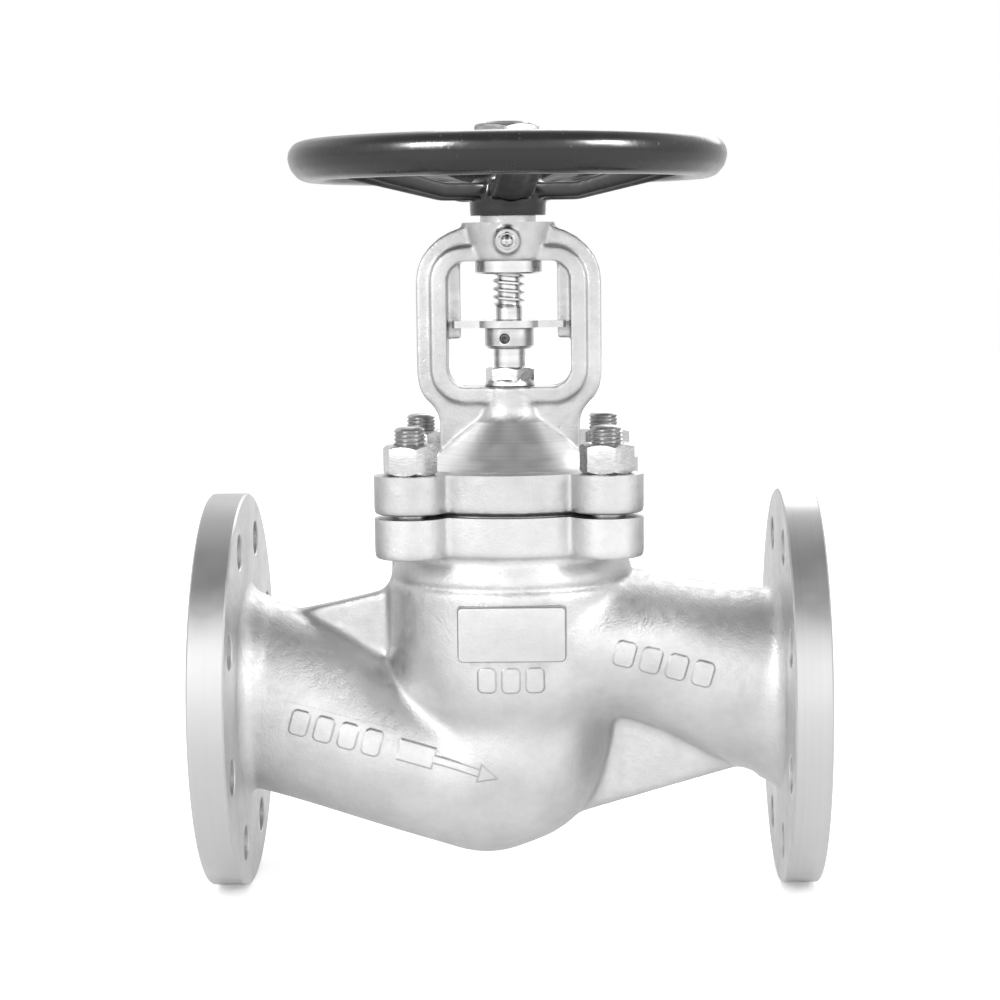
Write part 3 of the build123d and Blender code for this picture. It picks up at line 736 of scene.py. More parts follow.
# ---------------------------------------------------------------- bellows
# Thin bright tube pressed into convolutions, welded to a ring on the stem and to the carrier,
# whose flange is clamped with two graphite gaskets in the bonnet joint.
BELLOWS_LOW = (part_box("bellows")[0].z - AXIS) / MM
BELLOWS_HIGH = (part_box("bellows")[1].z - AXIS) / MM
BELLOWS_WAVES = 12
BELLOWS_MEAN_R = 21.1
BELLOWS_DEPTH = 3.5
BELLOWS_WALL = 0.7
waves = [k / (BELLOWS_WAVES * 12) for k in range(BELLOWS_WAVES * 12 + 1)]
wall = [
    (
        BELLOWS_MEAN_R - BELLOWS_DEPTH * cos(tau * BELLOWS_WAVES * t),
        BELLOWS_LOW + t * (BELLOWS_HIGH - BELLOWS_LOW),
    )
    for t in waves
]
inner = [(radius - BELLOWS_WALL + 0.4, height) for radius, height in reversed(wall)]
bellows = turned("bellows_tube", wall + inner, segments=96)
clad(bellows, turned_steel("bellows_sheet", 0.66, 0.74, 0.16))
edged(bellows, 60)
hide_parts("bellows")
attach(bellows, "valve_body")
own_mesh(bellows)


def pressed_graphite(name):
    """Pressed graphite foil: near-black with a flaky sheen."""
    material, tree, shader = finish_of(name, 0.35)
    where = place_of(tree)
    flakes = noise(tree, where, 700, 4)
    colour = tinted(tree, spread(tree, flakes, 0, 1), grey(0.035), grey(0.09))
    normal = embossed(tree, flakes, 0.0001, 0.5)
    set_finish(tree, shader, colour, spread(tree, noise(tree, where, 300), 0.42, 0.62), normal)
    return material


graphite = pressed_graphite("pressed_graphite")
for name in ("lower_gasket", "upper_gasket", "packing_rings"):
    dressed(name, graphite)
for name in ("bellows_lower_ring", "bellows_carrier", "packing_washer", "packing_bush"):
    dressed(name, fine_turned)

# ---------------------------------------------------------------- bonnet and yoke
# One casting: the lobed joint flange, a cone with a neck for the stuffing box, and a yoke of two
# bands round a window, with rails for the guide plate and a boss for the stem nut. The cone, the
# joint, the neck's top and the boss are machined.
BONNET_BASE = (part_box("bonnet")[0].z - AXIS) / MM
BONNET_TOP = 113.5
NECK_TOP = 153.8
WINDOW_TOP = 216.8
BOSS_TOP = (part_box("bonnet")[1].z - AXIS) / MM
NIPPLE_RISE = 226.7
NIPPLE_FACE = 23.0
CONE = [(45.5, BONNET_TOP), (37.6, 119), (30.8, 126.7), (19.8, 136)]
CAST_NECK = [(18.0, 138), (16.9, 140.5), (16.2, 143.5), (16, 147), (16, NECK_TOP + 2)]
BAND = [
    (35.3, 110),
    (35.3, 137),
    (36.6, 141.5),
    (39.3, 145.3),
    (43, 149),
    (45.4, 154),
    (46.4, 160),
    (46.4, 207),
    (45.6, 213),
    (43.2, 219),
    (39.5, 224),
    (34.5, 228.5),
    (29, 231.6),
    (24, 233.4),
    (18, 234.5),
]


def both_sides(outline):
    return outline + [(-x, z) for x, z in reversed(outline)]


def window_block(name, half_width, low, high, half_thick, corner):
    outline = [(-half_width, low), (half_width, low), (half_width, high), (-half_width, high)]
    return upright_plate(name, outline, half_thick, corner)


cone_blank = [(0, 104), (45.5, 104), *CONE, *CAST_NECK, (0, NECK_TOP + 2)]
boss_blank = [
    (0, WINDOW_TOP), (19, WINDOW_TOP), (19.9, 218.5), (23.3, 235), (23.3, BOSS_TOP + 4), (0, BOSS_TOP + 4)
]
bonnet = cast_skin(
    joined(
        "bonnet_casting",
        [
            upright_plate("band", both_sides(BAND), 10),
            window_block("inner_band", 39, 146, 224, 13, 17),
            turned("cone", cone_blank),
            turned("boss", boss_blank),
            turned("pad", [(0, 12), (7.4, 12), (6.4, NIPPLE_FACE + 2), (0, NIPPLE_FACE + 2)],
                   FACING_FRONT @ Matrix.Translation((0, NIPPLE_RISE * MM, 0)), 48),
        ],
    ),
    0.9,
    0,
)
combined(bonnet, "DIFFERENCE", window_block("window", 31.1, NECK_TOP, WINDOW_TOP, 40, 9.5))
rails = [
    prism(
        "rail",
        [(side * 24.5, 178), (side * 33, 178), (side * 33, 218), (side * 24.5, 218)],
        -3,
        3,
        FACING_FRONT,
    )
    for side in (-1, 1)
]
bonnet = thinned(cast_skin(joined("bonnet_casting", [bonnet, *rails]), 0.85, 6), 120000)
collar = joint_blank("bonnet_flange", BONNET_BASE, BONNET_TOP + 8)
combined(collar, "DIFFERENCE", turned("facing", [(0, BONNET_TOP), (95, BONNET_TOP), (95, 140), (0, 140)]))
thinned(collar, 30000)
combined(
    bonnet, "DIFFERENCE", turned("under", [(0, 90), (95, 90), (95, BONNET_TOP - 2), (0, BONNET_TOP - 2)])
)
combined(bonnet, "UNION", collar)
trim = [(0, BOSS_TOP), (40, BOSS_TOP), (40, BOSS_TOP + 10), (0, BOSS_TOP + 10)]
combined(bonnet, "DIFFERENCE", turned("boss_face", trim))
BOSS_BORE = [
    (0, 215), (17.5, 215), (17.5, 230), (14.05, 230), (14.05, BOSS_TOP - 0.5), (14.6, BOSS_TOP + 0.1)
]
combined(bonnet, "DIFFERENCE", turned("boss_bore", BOSS_BORE + [(14.6, BOSS_TOP + 2), (0, BOSS_TOP + 2)]))
STUFFING = [(0, 90), (31.5, 90), (31.5, 111), (30, 117), (8.05, 117), (8.05, 124), (12, 124)]
NECK_MOUTH = [(12, NECK_TOP - 0.6), (12.6, NECK_TOP), (24, NECK_TOP), (24, NECK_TOP + 3), (0, NECK_TOP + 3)]
combined(bonnet, "DIFFERENCE", turned("stuffing_box", STUFFING + NECK_MOUTH))
spot = [(0, NIPPLE_FACE), (5.8, NIPPLE_FACE), (5.8, NIPPLE_FACE + 6), (0, NIPPLE_FACE + 6)]
nipple_place = FACING_FRONT @ Matrix.Translation((0, NIPPLE_RISE * MM, 0))
combined(bonnet, "DIFFERENCE", turned("spot_face", spot, nipple_place, 48))
combined(
    bonnet, "DIFFERENCE", turned("grease_hole", [(0, 14), (3, 14), (3, 26), (0, 26)], nipple_place, 32)
)
for x in (-LOBE, LOBE):
    for y in (-LOBE, LOBE):
        place = UPRIGHT @ Matrix.Translation((x * MM, y * MM, 0))
        hole = [(0, 94), (9, 94), (9, BONNET_TOP + 1), (0, BONNET_TOP + 1)]
        combined(bonnet, "DIFFERENCE", turned("stud_hole", hole, place, 48))


def cone_distance(x, y, z):
    """How far a point stands out from the turned cone, in millimetres."""
    if not BONNET_TOP - 0.5 < z < 136.6:
        return 3.0
    for (r0, z0), (r1, z1) in zip(CONE, CONE[1:]):
        if z <= z1 or (r1, z1) == CONE[-1]:
            return hypot(x, y) - (r0 + (r1 - r0) * (z - z0) / (z1 - z0))


def blasted_with_cone(name):
    """The bonnet's finish: blasted like the body, but with tool rings where the cone is turned."""
    material = blasted_steel(name, 0.48, 0.57, 0.25)
    tree = material.node_tree
    shader = tree.nodes["Principled BSDF"]
    sockets = ("Base Color", "Roughness", "Normal")
    cast = {socket: shader.inputs[socket].links[0].from_socket for socket in sockets}
    height = node(tree, "SeparateXYZ", {"Vector": place_of(tree)}).outputs["Z"]
    rings = noise(tree, node(tree, "CombineXYZ", {"X": height}).outputs[0], 1500, 2)
    cone = spread(
        tree, node(tree, "Attribute", attribute_name="cone_distance").outputs["Fac"], 1, 0, 0.5, 0.9
    )
    dark = tinted(tree, spread(tree, rings, 0, 1), grey(0.78), grey(0.94))
    colour = node(tree, "Mix", {0: cone, 6: cast["Base Color"], 7: dark}, data_type="RGBA").outputs[2]
    rough = node(tree, "Mix", {0: cone, 2: cast["Roughness"], 3: 0.34}).outputs[0]
    lathe = embossed(tree, rings, 0.00018, 0.6)
    normal = node(tree, "Mix", {0: cone, 4: cast["Normal"], 5: lathe}, data_type="VECTOR").outputs[1]
    set_finish(tree, shader, colour, rough, normal)
    return material


clad(bonnet, blasted_with_cone("blasted_bonnet"), turned_steel("turned_bonnet_faces", 0.46, 0.54, 0.30))
faced(bonnet, 1, lambda x, y, z: z > BOSS_TOP - 0.2 or z < BONNET_BASE + 0.1 or (y < -22.5 and z > 200))
outside = bonnet.data.attributes.new("cone_distance", "FLOAT", "POINT")
for place, vertex in zip(outside.data, bonnet.data.vertices):
    x, y, z = vertex.co / MM
    place.value = min(3.0, max(0.0, abs(cone_distance(x, y, z - AXIS / MM))))
edged(bonnet, 38)
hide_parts("bonnet")
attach(bonnet, "valve_body")

# ---------------------------------------------------------------- bonnet studs and nuts
# Four stainless studs screwed into the body flange, their tips rounded, and hexagon nuts with
# both ends chamfered, pulled down on the bonnet flange.
STUD_TOP = (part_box("bonnet_studs")[1].z - AXIS) / MM
STUD_BASE = (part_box("bonnet_studs")[0].z - AXIS) / MM
STUD_THREAD = [(6.85, 0), (7.85, 0.42), (8.0, 0.46), (8.0, 0.54), (7.85, 0.58), (6.85, 1)]
NUT_TOP = (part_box("bonnet_nuts")[1].z - AXIS) / MM
NUT_TURN = -14.4


def softened(piece, width, segments=2, angle=30.0):
    """Breaks a machined piece's edges."""
    return modified(
        piece,
        "BEVEL",
        width=width * MM,
        segments=segments,
        profile=0.5,
        limit_method="ANGLE",
        angle_limit=radians(angle),
        harden_normals=False,
    )


def hexagon(name, flats, low, high, turn, place=UPRIGHT, bore=0.0, chamfer=1.6):
    """Hexagon with both ends chamfered at thirty degrees, and a bore if one is given."""
    corner = flats / sqrt(3)
    outline = [
        (corner * cos(radians(turn + 60 * k)), corner * sin(radians(turn + 60 * k))) for k in range(6)
    ]
    piece = prism(name, outline, low, high, place)
    face = flats * 0.475
    cone = [
        (0, low), (face, low), (corner, low + chamfer), (corner, high - chamfer), (face, high), (0, high)
    ]
    combined(piece, "INTERSECT", turned("chamfer", cone, place, 96))
    if bore:
        mouth = [
            (0, low - 1),
            (bore, low - 1),
            (bore, high - 0.7),
            (bore + 0.7, high),
            (bore + 0.7, high + 1),
            (0, high + 1),
        ]
        combined(piece, "DIFFERENCE", turned("bore", mouth, place, 64))
    return piece


studs, nuts = [], []
tip = [
    (0, 104),
    (8, 104),
    (8, STUD_TOP - 1.9),
    (7.2, STUD_TOP - 0.9),
    (5.6, STUD_TOP - 0.2),
    (4, STUD_TOP),
    (0, STUD_TOP),
]
for x in (-LOBE, LOBE):
    for y in (-LOBE, LOBE):
        place = UPRIGHT @ Matrix.Translation((x * MM, y * MM, 0))
        rod = thread("stud", STUD_THREAD, 2.0, 106, STUD_TOP, place=place, steps=32)
        combined(rod, "INTERSECT", turned("tip", tip, place, 48))
        shank = turned(
            "shank", [(0, STUD_BASE), (7.4, STUD_BASE), (8, STUD_BASE + 0.8), (8, 107), (0, 107)], place, 48
        )
        studs.append(combined(rod, "UNION", shank))
        nuts.append(softened(hexagon("nut", 24, BONNET_TOP, NUT_TOP, NUT_TURN, place, 8.2), 0.25))
studs = joined("bonnet_studs_threaded", studs)
nuts = joined("bonnet_nuts_hexagon", nuts)


def bright_steel(name, dark, light, gloss, scratch=1.0):
    """Bright wrought stainless steel: smooth, with faint rolling streaks and handling marks."""
    material, tree, shader = finish_of(name, 1.0)
    where = place_of(tree)
    stretch = node(tree, "Mapping", {"Vector": where, "Scale": (1, 1, 6)}).outputs[0]
    streaks = noise(tree, stretch, 260, 3)
    dents = noise(tree, where, 170, 2)
    normal = embossed(tree, dents, 0.00022 * scratch, 0.35)
    normal = embossed(tree, noise(tree, where, 1600, 2), 0.00004 * scratch, 0.4, normal)
    colour = tinted(tree, spread(tree, streaks, 0, 1), grey(dark), grey(light))
    set_finish(tree, shader, colour, spread(tree, streaks, gloss - 0.04, gloss + 0.07), normal)
    return material


clad(studs, bright_steel("rolled_studs", 0.38, 0.52, 0.30))
clad(nuts, bright_steel("bright_nuts", 0.50, 0.60, 0.26))
for piece, replaced in ((studs, "bonnet_studs"), (nuts, "bonnet_nuts")):
    edged(piece, 32)
    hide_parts(replaced)
    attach(piece, "valve_body")

# ---------------------------------------------------------------- gland nut
# Hexagon nut with a conical collar and a shank, which presses the packing rings down round the
# stem through a bush.
gland_base = (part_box("gland_nut")[0].z - AXIS) / MM
gland_top = (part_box("gland_nut")[1].z - AXIS) / MM
gland = hexagon("gland_nut_hexagon", 22, 155.6, gland_top, -13, chamfer=1.3)
shank = [
    (0, gland_base), (11.95, gland_base), (11.95, NECK_TOP), (12.1, NECK_TOP), (12.7, 154.4), (12.5, 155.6)
]
combined(gland, "UNION", turned("shank", shank + [(11.6, 157.6), (0, 157.6)], segments=96))
softened(gland, 0.3)
combined(
    gland,
    "DIFFERENCE",
    turned("bore", [(0, 140), (8.35, 140), (8.35, 163), (8.95, 163.7), (8.95, 166), (0, 166)]),
)
clad(gland, bright_steel("bright_gland", 0.62, 0.72, 0.24))
edged(gland, 32)
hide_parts("gland_nut")
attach(gland, "valve_body")

# ---------------------------------------------------------------- guide plate and clamp collar
# Laser-cut plate with a flat-sided hole that keeps the stem from turning, its forked ends
# sliding on the yoke's rails. A turned collar with a socket set screw clamps it on the stem.
PLATE_BASE = (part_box("guide_plate")[0].z - AXIS) / MM
PLATE_TOP = (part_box("guide_plate")[1].z - AXIS) / MM
PLATE_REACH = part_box("guide_plate")[1].x / MM
FORK_FLOOR = 24.2
guide = prism("guide_plate_cut", rectangle(2 * PLATE_REACH, 17), PLATE_BASE, PLATE_TOP, corner=2.2)
round_part = [(0, PLATE_BASE), (17, PLATE_BASE), (17, PLATE_TOP), (0, PLATE_TOP)]
combined(guide, "UNION", turned("round", round_part, segments=96))
for side in (-1, 1):
    fork = [(side * FORK_FLOOR, -3.3), (side * 40, -3.3), (side * 40, 3.3), (side * FORK_FLOOR, 3.3)]
    combined(guide, "DIFFERENCE", prism("fork", fork, PLATE_BASE - 1, PLATE_TOP + 1))
hole = turned("hole", [(0, 180), (8.05, 180), (8.05, 190), (0, 190)], segments=64)
combined(hole, "DIFFERENCE", prism("flat", [(-12, 6.85), (12, 6.85), (12, 14), (-12, 14)], 175, 195))
combined(guide, "DIFFERENCE", hole)
softened(guide, 0.35)


def tumbled_plate(name):
    """Plate tumbled after cutting: satin with fine scuffs in every direction."""
    material, tree, shader = finish_of(name, 1.0)
    where = place_of(tree)
    scuffs = noise(tree, where, 650, 4)
    normal = embossed(tree, scuffs, 0.0001, 0.5)
    colour = tinted(tree, spread(tree, noise(tree, where, 90, 3), 0, 1), grey(0.48), grey(0.57))
    set_finish(tree, shader, colour, spread(tree, scuffs, 0.28, 0.42), normal)
    return material


clad(guide, tumbled_plate("tumbled_plate"))
edged(guide, 32)
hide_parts("guide_plate")
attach(guide, "spindle")

COLLAR_BASE = (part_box("clamp_collar")[0].z - AXIS) / MM
SCREW_TURN = -100.0
SCREW_RISE = 178.1
screw_place = (
    UPRIGHT
    @ Matrix.Translation((0, 0, SCREW_RISE * MM))
    @ Matrix.Rotation(radians(SCREW_TURN), 4, "Z")
    @ Matrix.Rotation(radians(90), 4, "Y")
)
collar_profile = [
    (8.05, COLLAR_BASE),
    (10.6, COLLAR_BASE),
    (12.25, COLLAR_BASE + 1.6),
    (12.25, PLATE_BASE - 0.5),
    (11.75, PLATE_BASE),
    (8.05, PLATE_BASE),
]
collar = turned("clamp_collar_turned", collar_profile, segments=96)
combined(
    collar, "DIFFERENCE", turned("screw_hole", [(0, 4), (2.65, 4), (2.65, 16), (0, 16)], screw_place, 32)
)
clad(collar, turned_steel("turned_collar", 0.44, 0.58, 0.30))
edged(softened(collar, 0.15), 32)
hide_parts("clamp_collar")
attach(collar, "spindle")

set_screw = turned(
    "collar_screw_socket",
    [(0, 8.1), (2.2, 8.1), (2.6, 8.6), (2.6, 11.4), (2.2, 11.9), (0, 11.9)],
    screw_place,
    32,
)
combined(set_screw, "DIFFERENCE", hexagon("socket", 2.5, 9.9, 13, 0, screw_place, chamfer=0.1))


def oiled_steel(name):
    """Hardened screw steel, black-oiled and rubbed lighter in random patches."""
    material, tree, shader = finish_of(name, 0.9)
    where = place_of(tree)
    rub = noise(tree, where, 900, 3)
    colour = tinted(tree, spread(tree, rub, 0, 1), grey(0.05), grey(0.16))
    set_finish(tree, shader, colour, spread(tree, rub, 0.3, 0.45), embossed(tree, rub, 0.00005, 0.5))
    return material


clad(set_screw, oiled_steel("oiled_screw"))
edged(set_screw, 32)
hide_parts("collar_screw")
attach(set_screw, "spindle")

# ---------------------------------------------------------------- stem nut and its bearings
# Turned nut that the handwheel drives: a sleeve on the stem thread, a thrust flange between two
# bronze washers in the boss, and a keyed spigot. A screwed retainer holds it from below.
RETAINER_BASE = (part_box("bearing_retainer")[0].z - AXIS) / MM
SPIGOT_TOP = (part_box("stem_nut")[1].z - AXIS) / MM
nut_profile = [
    (7.95, 211),
    (11.6, 211),
    (12, 211.5),
    (12, 223),
    (17, 223),
    (17, 228.5),
    (14, 228.5),
    (14, 239.2),
    (13.7, 239.5),
    (12, 239.5),
    (12, 273),
    (11, 273.5),
    (11, SPIGOT_TOP - 1),
    (10.1, SPIGOT_TOP),
    (9.2, SPIGOT_TOP),
    (8.6, SPIGOT_TOP - 0.6),
    (8.6, 250),
    (7.95, 249.3),
]
stem_nut = turned("stem_nut_turned", nut_profile)
combined(stem_nut, "DIFFERENCE", prism("keyway", [(-3, 10.4), (3, 10.4), (3, 16), (-3, 16)], 244, 268))
clad(stem_nut, turned_steel("turned_stem_nut", 0.50, 0.66, 0.25))
edged(stem_nut, 32)
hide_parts("stem_nut")
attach(stem_nut, "wheel")

retainer_profile = [
    (12.3, RETAINER_BASE),
    (15.9, RETAINER_BASE),
    (16.8, RETAINER_BASE + 0.9),
    (16.8, 216.8),
    (17.45, 216.8),
    (17.45, 221.5),
    (12.3, 221.5),
]
retainer = turned("bearing_retainer_turned", retainer_profile)
for side in (-1, 1):
    place = UPRIGHT @ Matrix.Translation((side * 14.5 * MM, 0, 0))
    combined(
        retainer,
        "DIFFERENCE",
        turned("pin_hole", [(0, 208), (1.2, 208), (1.2, 214.4), (0, 214.9)], place, 24),
    )
clad(retainer, turned_steel("turned_retainer", 0.52, 0.64, 0.26))
edged(retainer, 32)
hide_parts("bearing_retainer")
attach(retainer, "valve_body")


def bearing_bronze(name):
    """Plain bearing bronze with fine rings and a slight brown bloom."""
    material, tree, shader = finish_of(name, 1.0)
    where = place_of(tree)
    bloom = noise(tree, where, 120, 3)
    colour = tinted(tree, spread(tree, bloom, 0, 1), (0.46, 0.29, 0.12), (0.66, 0.46, 0.22))
    normal = embossed(tree, noise(tree, where, 1400, 2), 0.00005, 0.5)
    set_finish(tree, shader, colour, spread(tree, bloom, 0.26, 0.4), normal)
    return material


bronze = bearing_bronze("bearing_bronze")
for name in ("lower_thrust_washer", "upper_thrust_washer"):
    dressed(name, bronze)

# ---------------------------------------------------------------- grease nipple
# Zinc-plated nipple screwed into the spot face on the boss: hexagon, neck and ball, with the
# small check-ball hole at its tip.
nipple = hexagon("grease_nipple_ball", 8, NIPPLE_FACE, 26.3, 30, nipple_place, chamfer=0.6)
neck = [(0, 18), (2.95, 18), (2.95, NIPPLE_FACE + 0.5), (2.95, 26), (2.4, 26.8), (2.3, 28), (0, 28)]
combined(nipple, "UNION", turned("neck", neck, nipple_place, 48))
head = [
    (0, 26.9),
    *((3.2 * cos(radians(a)), 30 + 3.2 * sin(radians(a))) for a in range(-70, 76, 12)),
    (0.9, 33.1),
    (0.6, 32.4),
    (0, 32.4),
]
combined(nipple, "UNION", turned("head", head, nipple_place, 48))
clad(nipple, bright_steel("plated_nipple", 0.50, 0.62, 0.27, 0.5))
edged(nipple, 32)
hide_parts("grease_nipple")
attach(nipple, "valve_body")

# ---------------------------------------------------------------- handwheel
# Iron casting in gloss black stove enamel: a machined hub keyed on the stem nut, five dished
# spokes and a rim rounded outside, with shallow finger waves inside. A washer and nut hold it.
HUB_BASE = 239.5
HUB_TOP = 273.5
RIM_R = 99.0
RIM_RISE = 267.0
SPOKES = 5
FIRST_SPOKE = -84.0
GRIPS = 10
RIM_SECTION = [
    (11, 1.2),
    (10.3, 5.2),
    (7.6, 8.8),
    (3, 10.3),
    (-3, 10.3),
    (-7.6, 8.4),
    (-10.6, 4.6),
    (-10.6, 0),
    (-8, -5.4),
    (-3.6, -9.6),
    (1.2, -10.3),
    (5.6, -8.6),
    (9.4, -4.2),
]
rim = turned("rim", [(RIM_R + dr, RIM_RISE + dz) for dr, dz in RIM_SECTION], segments=240)
for vertex in rim.data.vertices:
    x, y, z = vertex.co
    radius, angle = hypot(x, y) / MM, atan2(y, x)
    inside = max(0.0, min(1.0, (RIM_R + 3 - radius) / 10))
    wave = 1.3 * inside * cos(GRIPS * (angle - radians(FIRST_SPOKE)))
    shift = (radius + wave) / radius
    vertex.co = (x * shift, y * shift, z)
hub_blank = [
    (0, HUB_BASE - 3),
    (18.6, HUB_BASE - 3),
    (19.1, HUB_BASE + 2),
    (19.1, 250.8),
    (18.2, 252.6),
    (17.2, 255),
    (17, HUB_TOP + 3),
    (0, HUB_TOP + 3),
]
arms = [turned("hub", hub_blank), rim]
SPOKE_SIDE = [
    (8, 248.2),
    (37, 248.2),
    (66, 255.0),
    (97, RIM_RISE - 3.5),
    (97, RIM_RISE + 4.5),
    (66, 263.6),
    (37, 255.6),
    (8, 255.6),
]
RIB_SIDE = [(8, 246.9), (36, 246.9), (62, 252.6), (94, 259.5), (94, RIM_RISE), (8, RIM_RISE - 14)]
for k in range(SPOKES):
    turn = Matrix.Rotation(radians(FIRST_SPOKE + 360 / SPOKES * k), 4, "Z")
    arms.append(prism("spoke", SPOKE_SIDE, -10, 10, turn @ FACING_FRONT))
    arms.append(prism("rib", RIB_SIDE, -3.2, 3.2, turn @ FACING_FRONT))
handwheel = cast_skin(joined("handwheel_casting", arms), 0.95, 16)
thinned(handwheel, 170000)
for low, high in ((HUB_BASE - 8, HUB_BASE), (HUB_TOP, HUB_TOP + 8)):
    combined(handwheel, "DIFFERENCE", turned("facing", [(0, low), (30, low), (30, high), (0, high)]))
combined(handwheel, "DIFFERENCE", turned("hub_bore", [(0, 230), (12.05, 230), (12.05, 290), (0, 290)]))
combined(handwheel, "DIFFERENCE", prism("keyway", [(-3, 8), (3, 8), (3, 14), (-3, 14)], 230, 290))


def stove_enamel(name):
    """Black enamel, glossy on the rim and hub and satin on the spokes, rippled, with specks of dust."""
    material, tree, shader = finish_of(name, 0.0, Specular_IOR_Level=0.35, Coat_Roughness=0.16)
    where = place_of(tree)
    split = node(tree, "SeparateXYZ", {"Vector": where}).outputs
    level = node(tree, "CombineXYZ", {"X": split["X"], "Y": split["Y"]}).outputs[0]
    radius = node(tree, "VectorMath", {0: level}, operation="LENGTH").outputs["Value"]
    rim = spread(tree, radius, 0, 1, 0.084, 0.090)
    hub = spread(tree, radius, 1, 0, 0.020, 0.024)
    glossy = node(tree, "Math", {0: rim, 1: hub}, operation="MAXIMUM").outputs[0]
    ripple = noise(tree, where, 130, 2)
    specks = spread(tree, noise(tree, where, 520, 1), 0, 1, 0.74, 0.8)
    normal = embossed(tree, ripple, 0.00028, 0.35)
    normal = embossed(tree, specks, 0.0001, 0.6, normal)
    colour = tinted(tree, specks, grey(0.005), grey(0.03))
    rough = node(
        tree, "Mix", {0: glossy, 2: spread(tree, ripple, 0.52, 0.60), 3: spread(tree, ripple, 0.22, 0.28)}
    )
    set_finish(tree, shader, colour, rough.outputs[0], normal)
    coat = node(tree, "Math", {0: glossy, 1: 0.25}, operation="MULTIPLY").outputs[0]
    tree.links.new(coat, shader.inputs["Coat Weight"])
    return material


clad(handwheel, stove_enamel("black_enamel"))
edged(handwheel, 45)
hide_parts("handwheel")
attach(handwheel, "wheel")
dressed("wheel_key", fine_turned)

washer_top = (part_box("wheel_washer")[1].z - AXIS) / MM
washer = turned(
    "wheel_washer_flat",
    [(11.2, HUB_TOP), (16.5, HUB_TOP), (16.5, washer_top - 0.4), (16.1, washer_top), (11.2, washer_top)],
)
wheel_nut = softened(hexagon("wheel_nut_hexagon", 32, washer_top, 285, 30, bore=11.05, chamfer=2.0), 0.3)
nut_steel = bright_steel("wheel_nut_steel", 0.20, 0.30, 0.30)
for piece, replaced in ((washer, "wheel_washer"), (wheel_nut, "wheel_nut")):
    clad(piece, nut_steel)
    edged(piece, 32)
    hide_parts(replaced)
    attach(piece, "wheel")

# ---------------------------------------------------------------- studio
# White floor and a white surround with one wide bright side behind the camera, a dimmer ceiling
# and dimmer flanks, and the camera in front and a little above.
bm = bmesh.new()
bmesh.ops.create_grid(bm, x_segments=1, y_segments=1, size=6)
floor = solid("floor", bm)
floor_white, tree, shader = finish_of("floor_white", 0.0, Specular_IOR_Level=0.2)
where = place_of(tree)
sheen = noise(tree, where, 3, 2)
white = tinted(tree, sheen, grey(0.90), grey(0.92))
tree.links.new(white, shader.inputs["Emission Color"])
lift = calc(tree, "MULTIPLY", node(tree, "LightPath").outputs["Is Camera Ray"], 0.36)
tree.links.new(lift, shader.inputs["Emission Strength"])
set_finish(tree, shader, white, spread(tree, sheen, 0.3, 0.34), embossed(tree, sheen, 0.0001))
clad(floor, floor_white)

camera_data = bpy.data.cameras.new("camera")
camera_data.lens = 85.8
camera_data.sensor_width = 36
camera_data.clip_end = 50
camera = bpy.data.objects.new("camera", camera_data)
bpy.context.scene.collection.objects.link(camera)
bpy.context.scene.camera = camera
yaw, pitch, roll = radians(-1.65), radians(-5.99), radians(-0.70)
forward = Vector((sin(yaw) * cos(pitch), cos(yaw) * cos(pitch), sin(pitch)))
level_right = Vector((cos(yaw), -sin(yaw), 0))
level_up = level_right.cross(forward)
right = cos(roll) * level_right + sin(roll) * level_up
up = -sin(roll) * level_right + cos(roll) * level_up
camera.matrix_world = Matrix((right, up, -forward)).transposed().to_4x4()
camera.location = (0.0290, -1.2054, AXIS + 222.3 * MM)

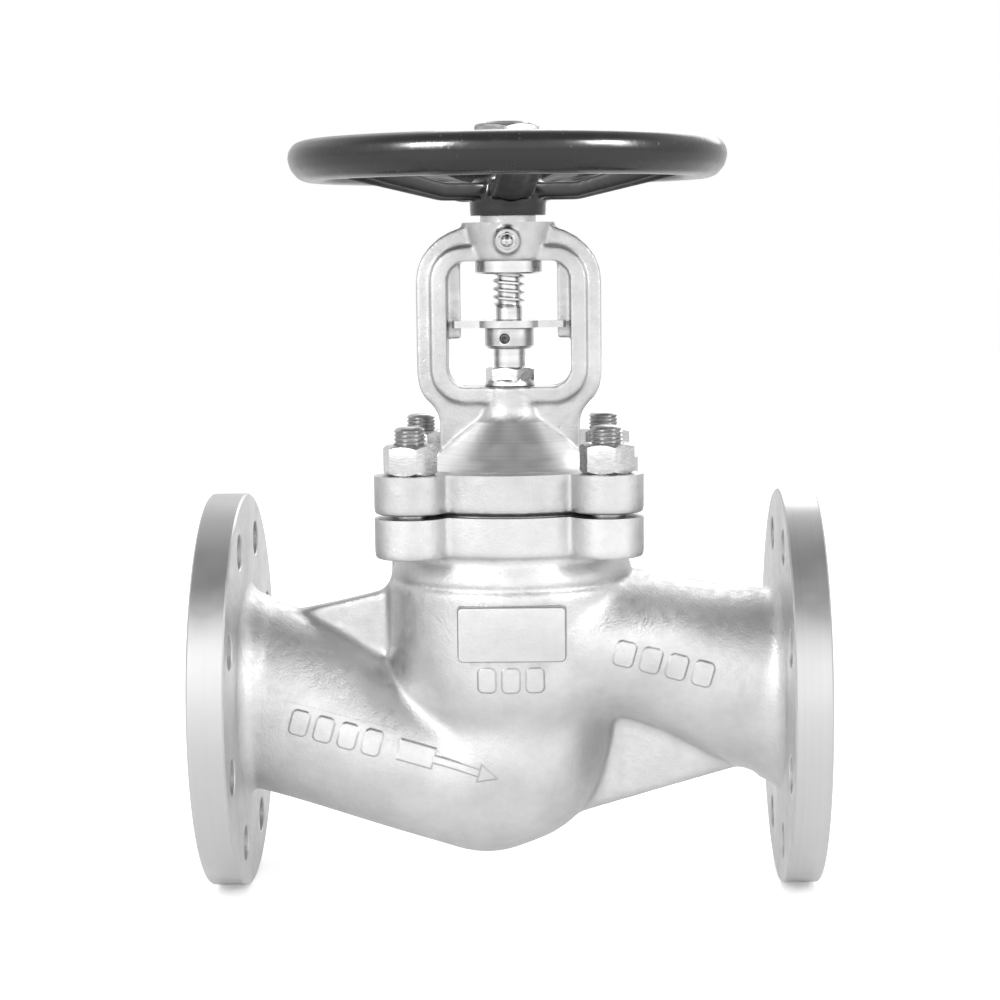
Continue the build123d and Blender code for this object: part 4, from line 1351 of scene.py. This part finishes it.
world = bpy.data.worlds.new("surround")
world.use_nodes = True
bpy.context.scene.world = world
tree = world.node_tree
direction = node(tree, "SeparateXYZ", {"Vector": node(tree, "TexCoord").outputs["Generated"]}).outputs
front = spread(tree, direction["Y"], 1, 0, -0.75, 0.15)
above_floor = spread(tree, direction["Z"], 0, 1, -0.30, -0.12)
below_ceiling = spread(tree, direction["Z"], 1, 0, 0.50, 0.80)
behind = spread(tree, direction["Y"], 0, 1, 0.05, 0.35)
back_top = calc(tree, "MULTIPLY", behind, spread(tree, direction["Z"], 0, 1, 0.3, 0.7))
glow = calc(tree, "MULTIPLY", calc(tree, "MULTIPLY", front, above_floor), below_ceiling)
with_front = calc(tree, "MULTIPLY_ADD", glow, 0.80, 0.34)
with_back = calc(tree, "MULTIPLY_ADD", back_top, 0.40, with_front)
surround = calc(tree, "MULTIPLY_ADD", below_ceiling, 0.60, with_back)
seen = node(tree, "LightPath").outputs["Is Camera Ray"]
strength = node(tree, "Mix", {0: seen, 2: surround, 3: 1.0}).outputs[0]
tree.links.new(strength, tree.nodes["Background"].inputs["Strength"])
tree.nodes["Background"].inputs["Color"].default_value = (1, 1, 1, 1)
bpy.context.scene.view_settings.view_transform = "Standard"


def soft_box(name, location, target, width, height, power):
    """Rectangular lamp with a diffuser, turned towards a point."""
    lamp = bpy.data.lights.new(name, "AREA")
    lamp.shape = "RECTANGLE"
    lamp.size, lamp.size_y, lamp.energy = width, height, power
    box = bpy.data.objects.new(name, lamp)
    box.location = location
    box.rotation_euler = (Vector(target) - Vector(location)).to_track_quat("-Z", "Y").to_euler()
    bpy.context.scene.collection.objects.link(box)
    return box


soft_box("left_box", (-1.05, -1.25, 1.0), (0, 0, 0.25), 0.4, 0.8, 10)
soft_box("right_box", (1.4, -0.8, 1.0), (0, 0, 0.25), 0.35, 0.8, 9)
soft_box("back_box", (0.4, 1.5, 1.1), (0, 0, 0.2), 1.2, 0.8, 7)
# two lamps light the wheel alone, and leave the two soft streaks along its rim
wheel_only = bpy.data.collections.new("wheel_only")
wheel_only.objects.link(handwheel)
for x, y, power in ((-0.85, -1.0, 34), (1.05, -0.77, 28)):
    streak = soft_box("wheel_streak", (x, y, 1.0), (0, 0, 0.37), 0.5, 0.4, power)
    streak.light_linking.receiver_collection = wheel_only
overhead = bpy.data.lights.new("overhead", "SUN")
overhead.energy = 0.75
overhead.angle = radians(70)
overhead_lamp = bpy.data.objects.new("overhead", overhead)
overhead_lamp.rotation_euler = (radians(12), radians(-8), 0)
overhead_lamp.visible_glossy = False
bpy.context.scene.collection.objects.link(overhead_lamp)
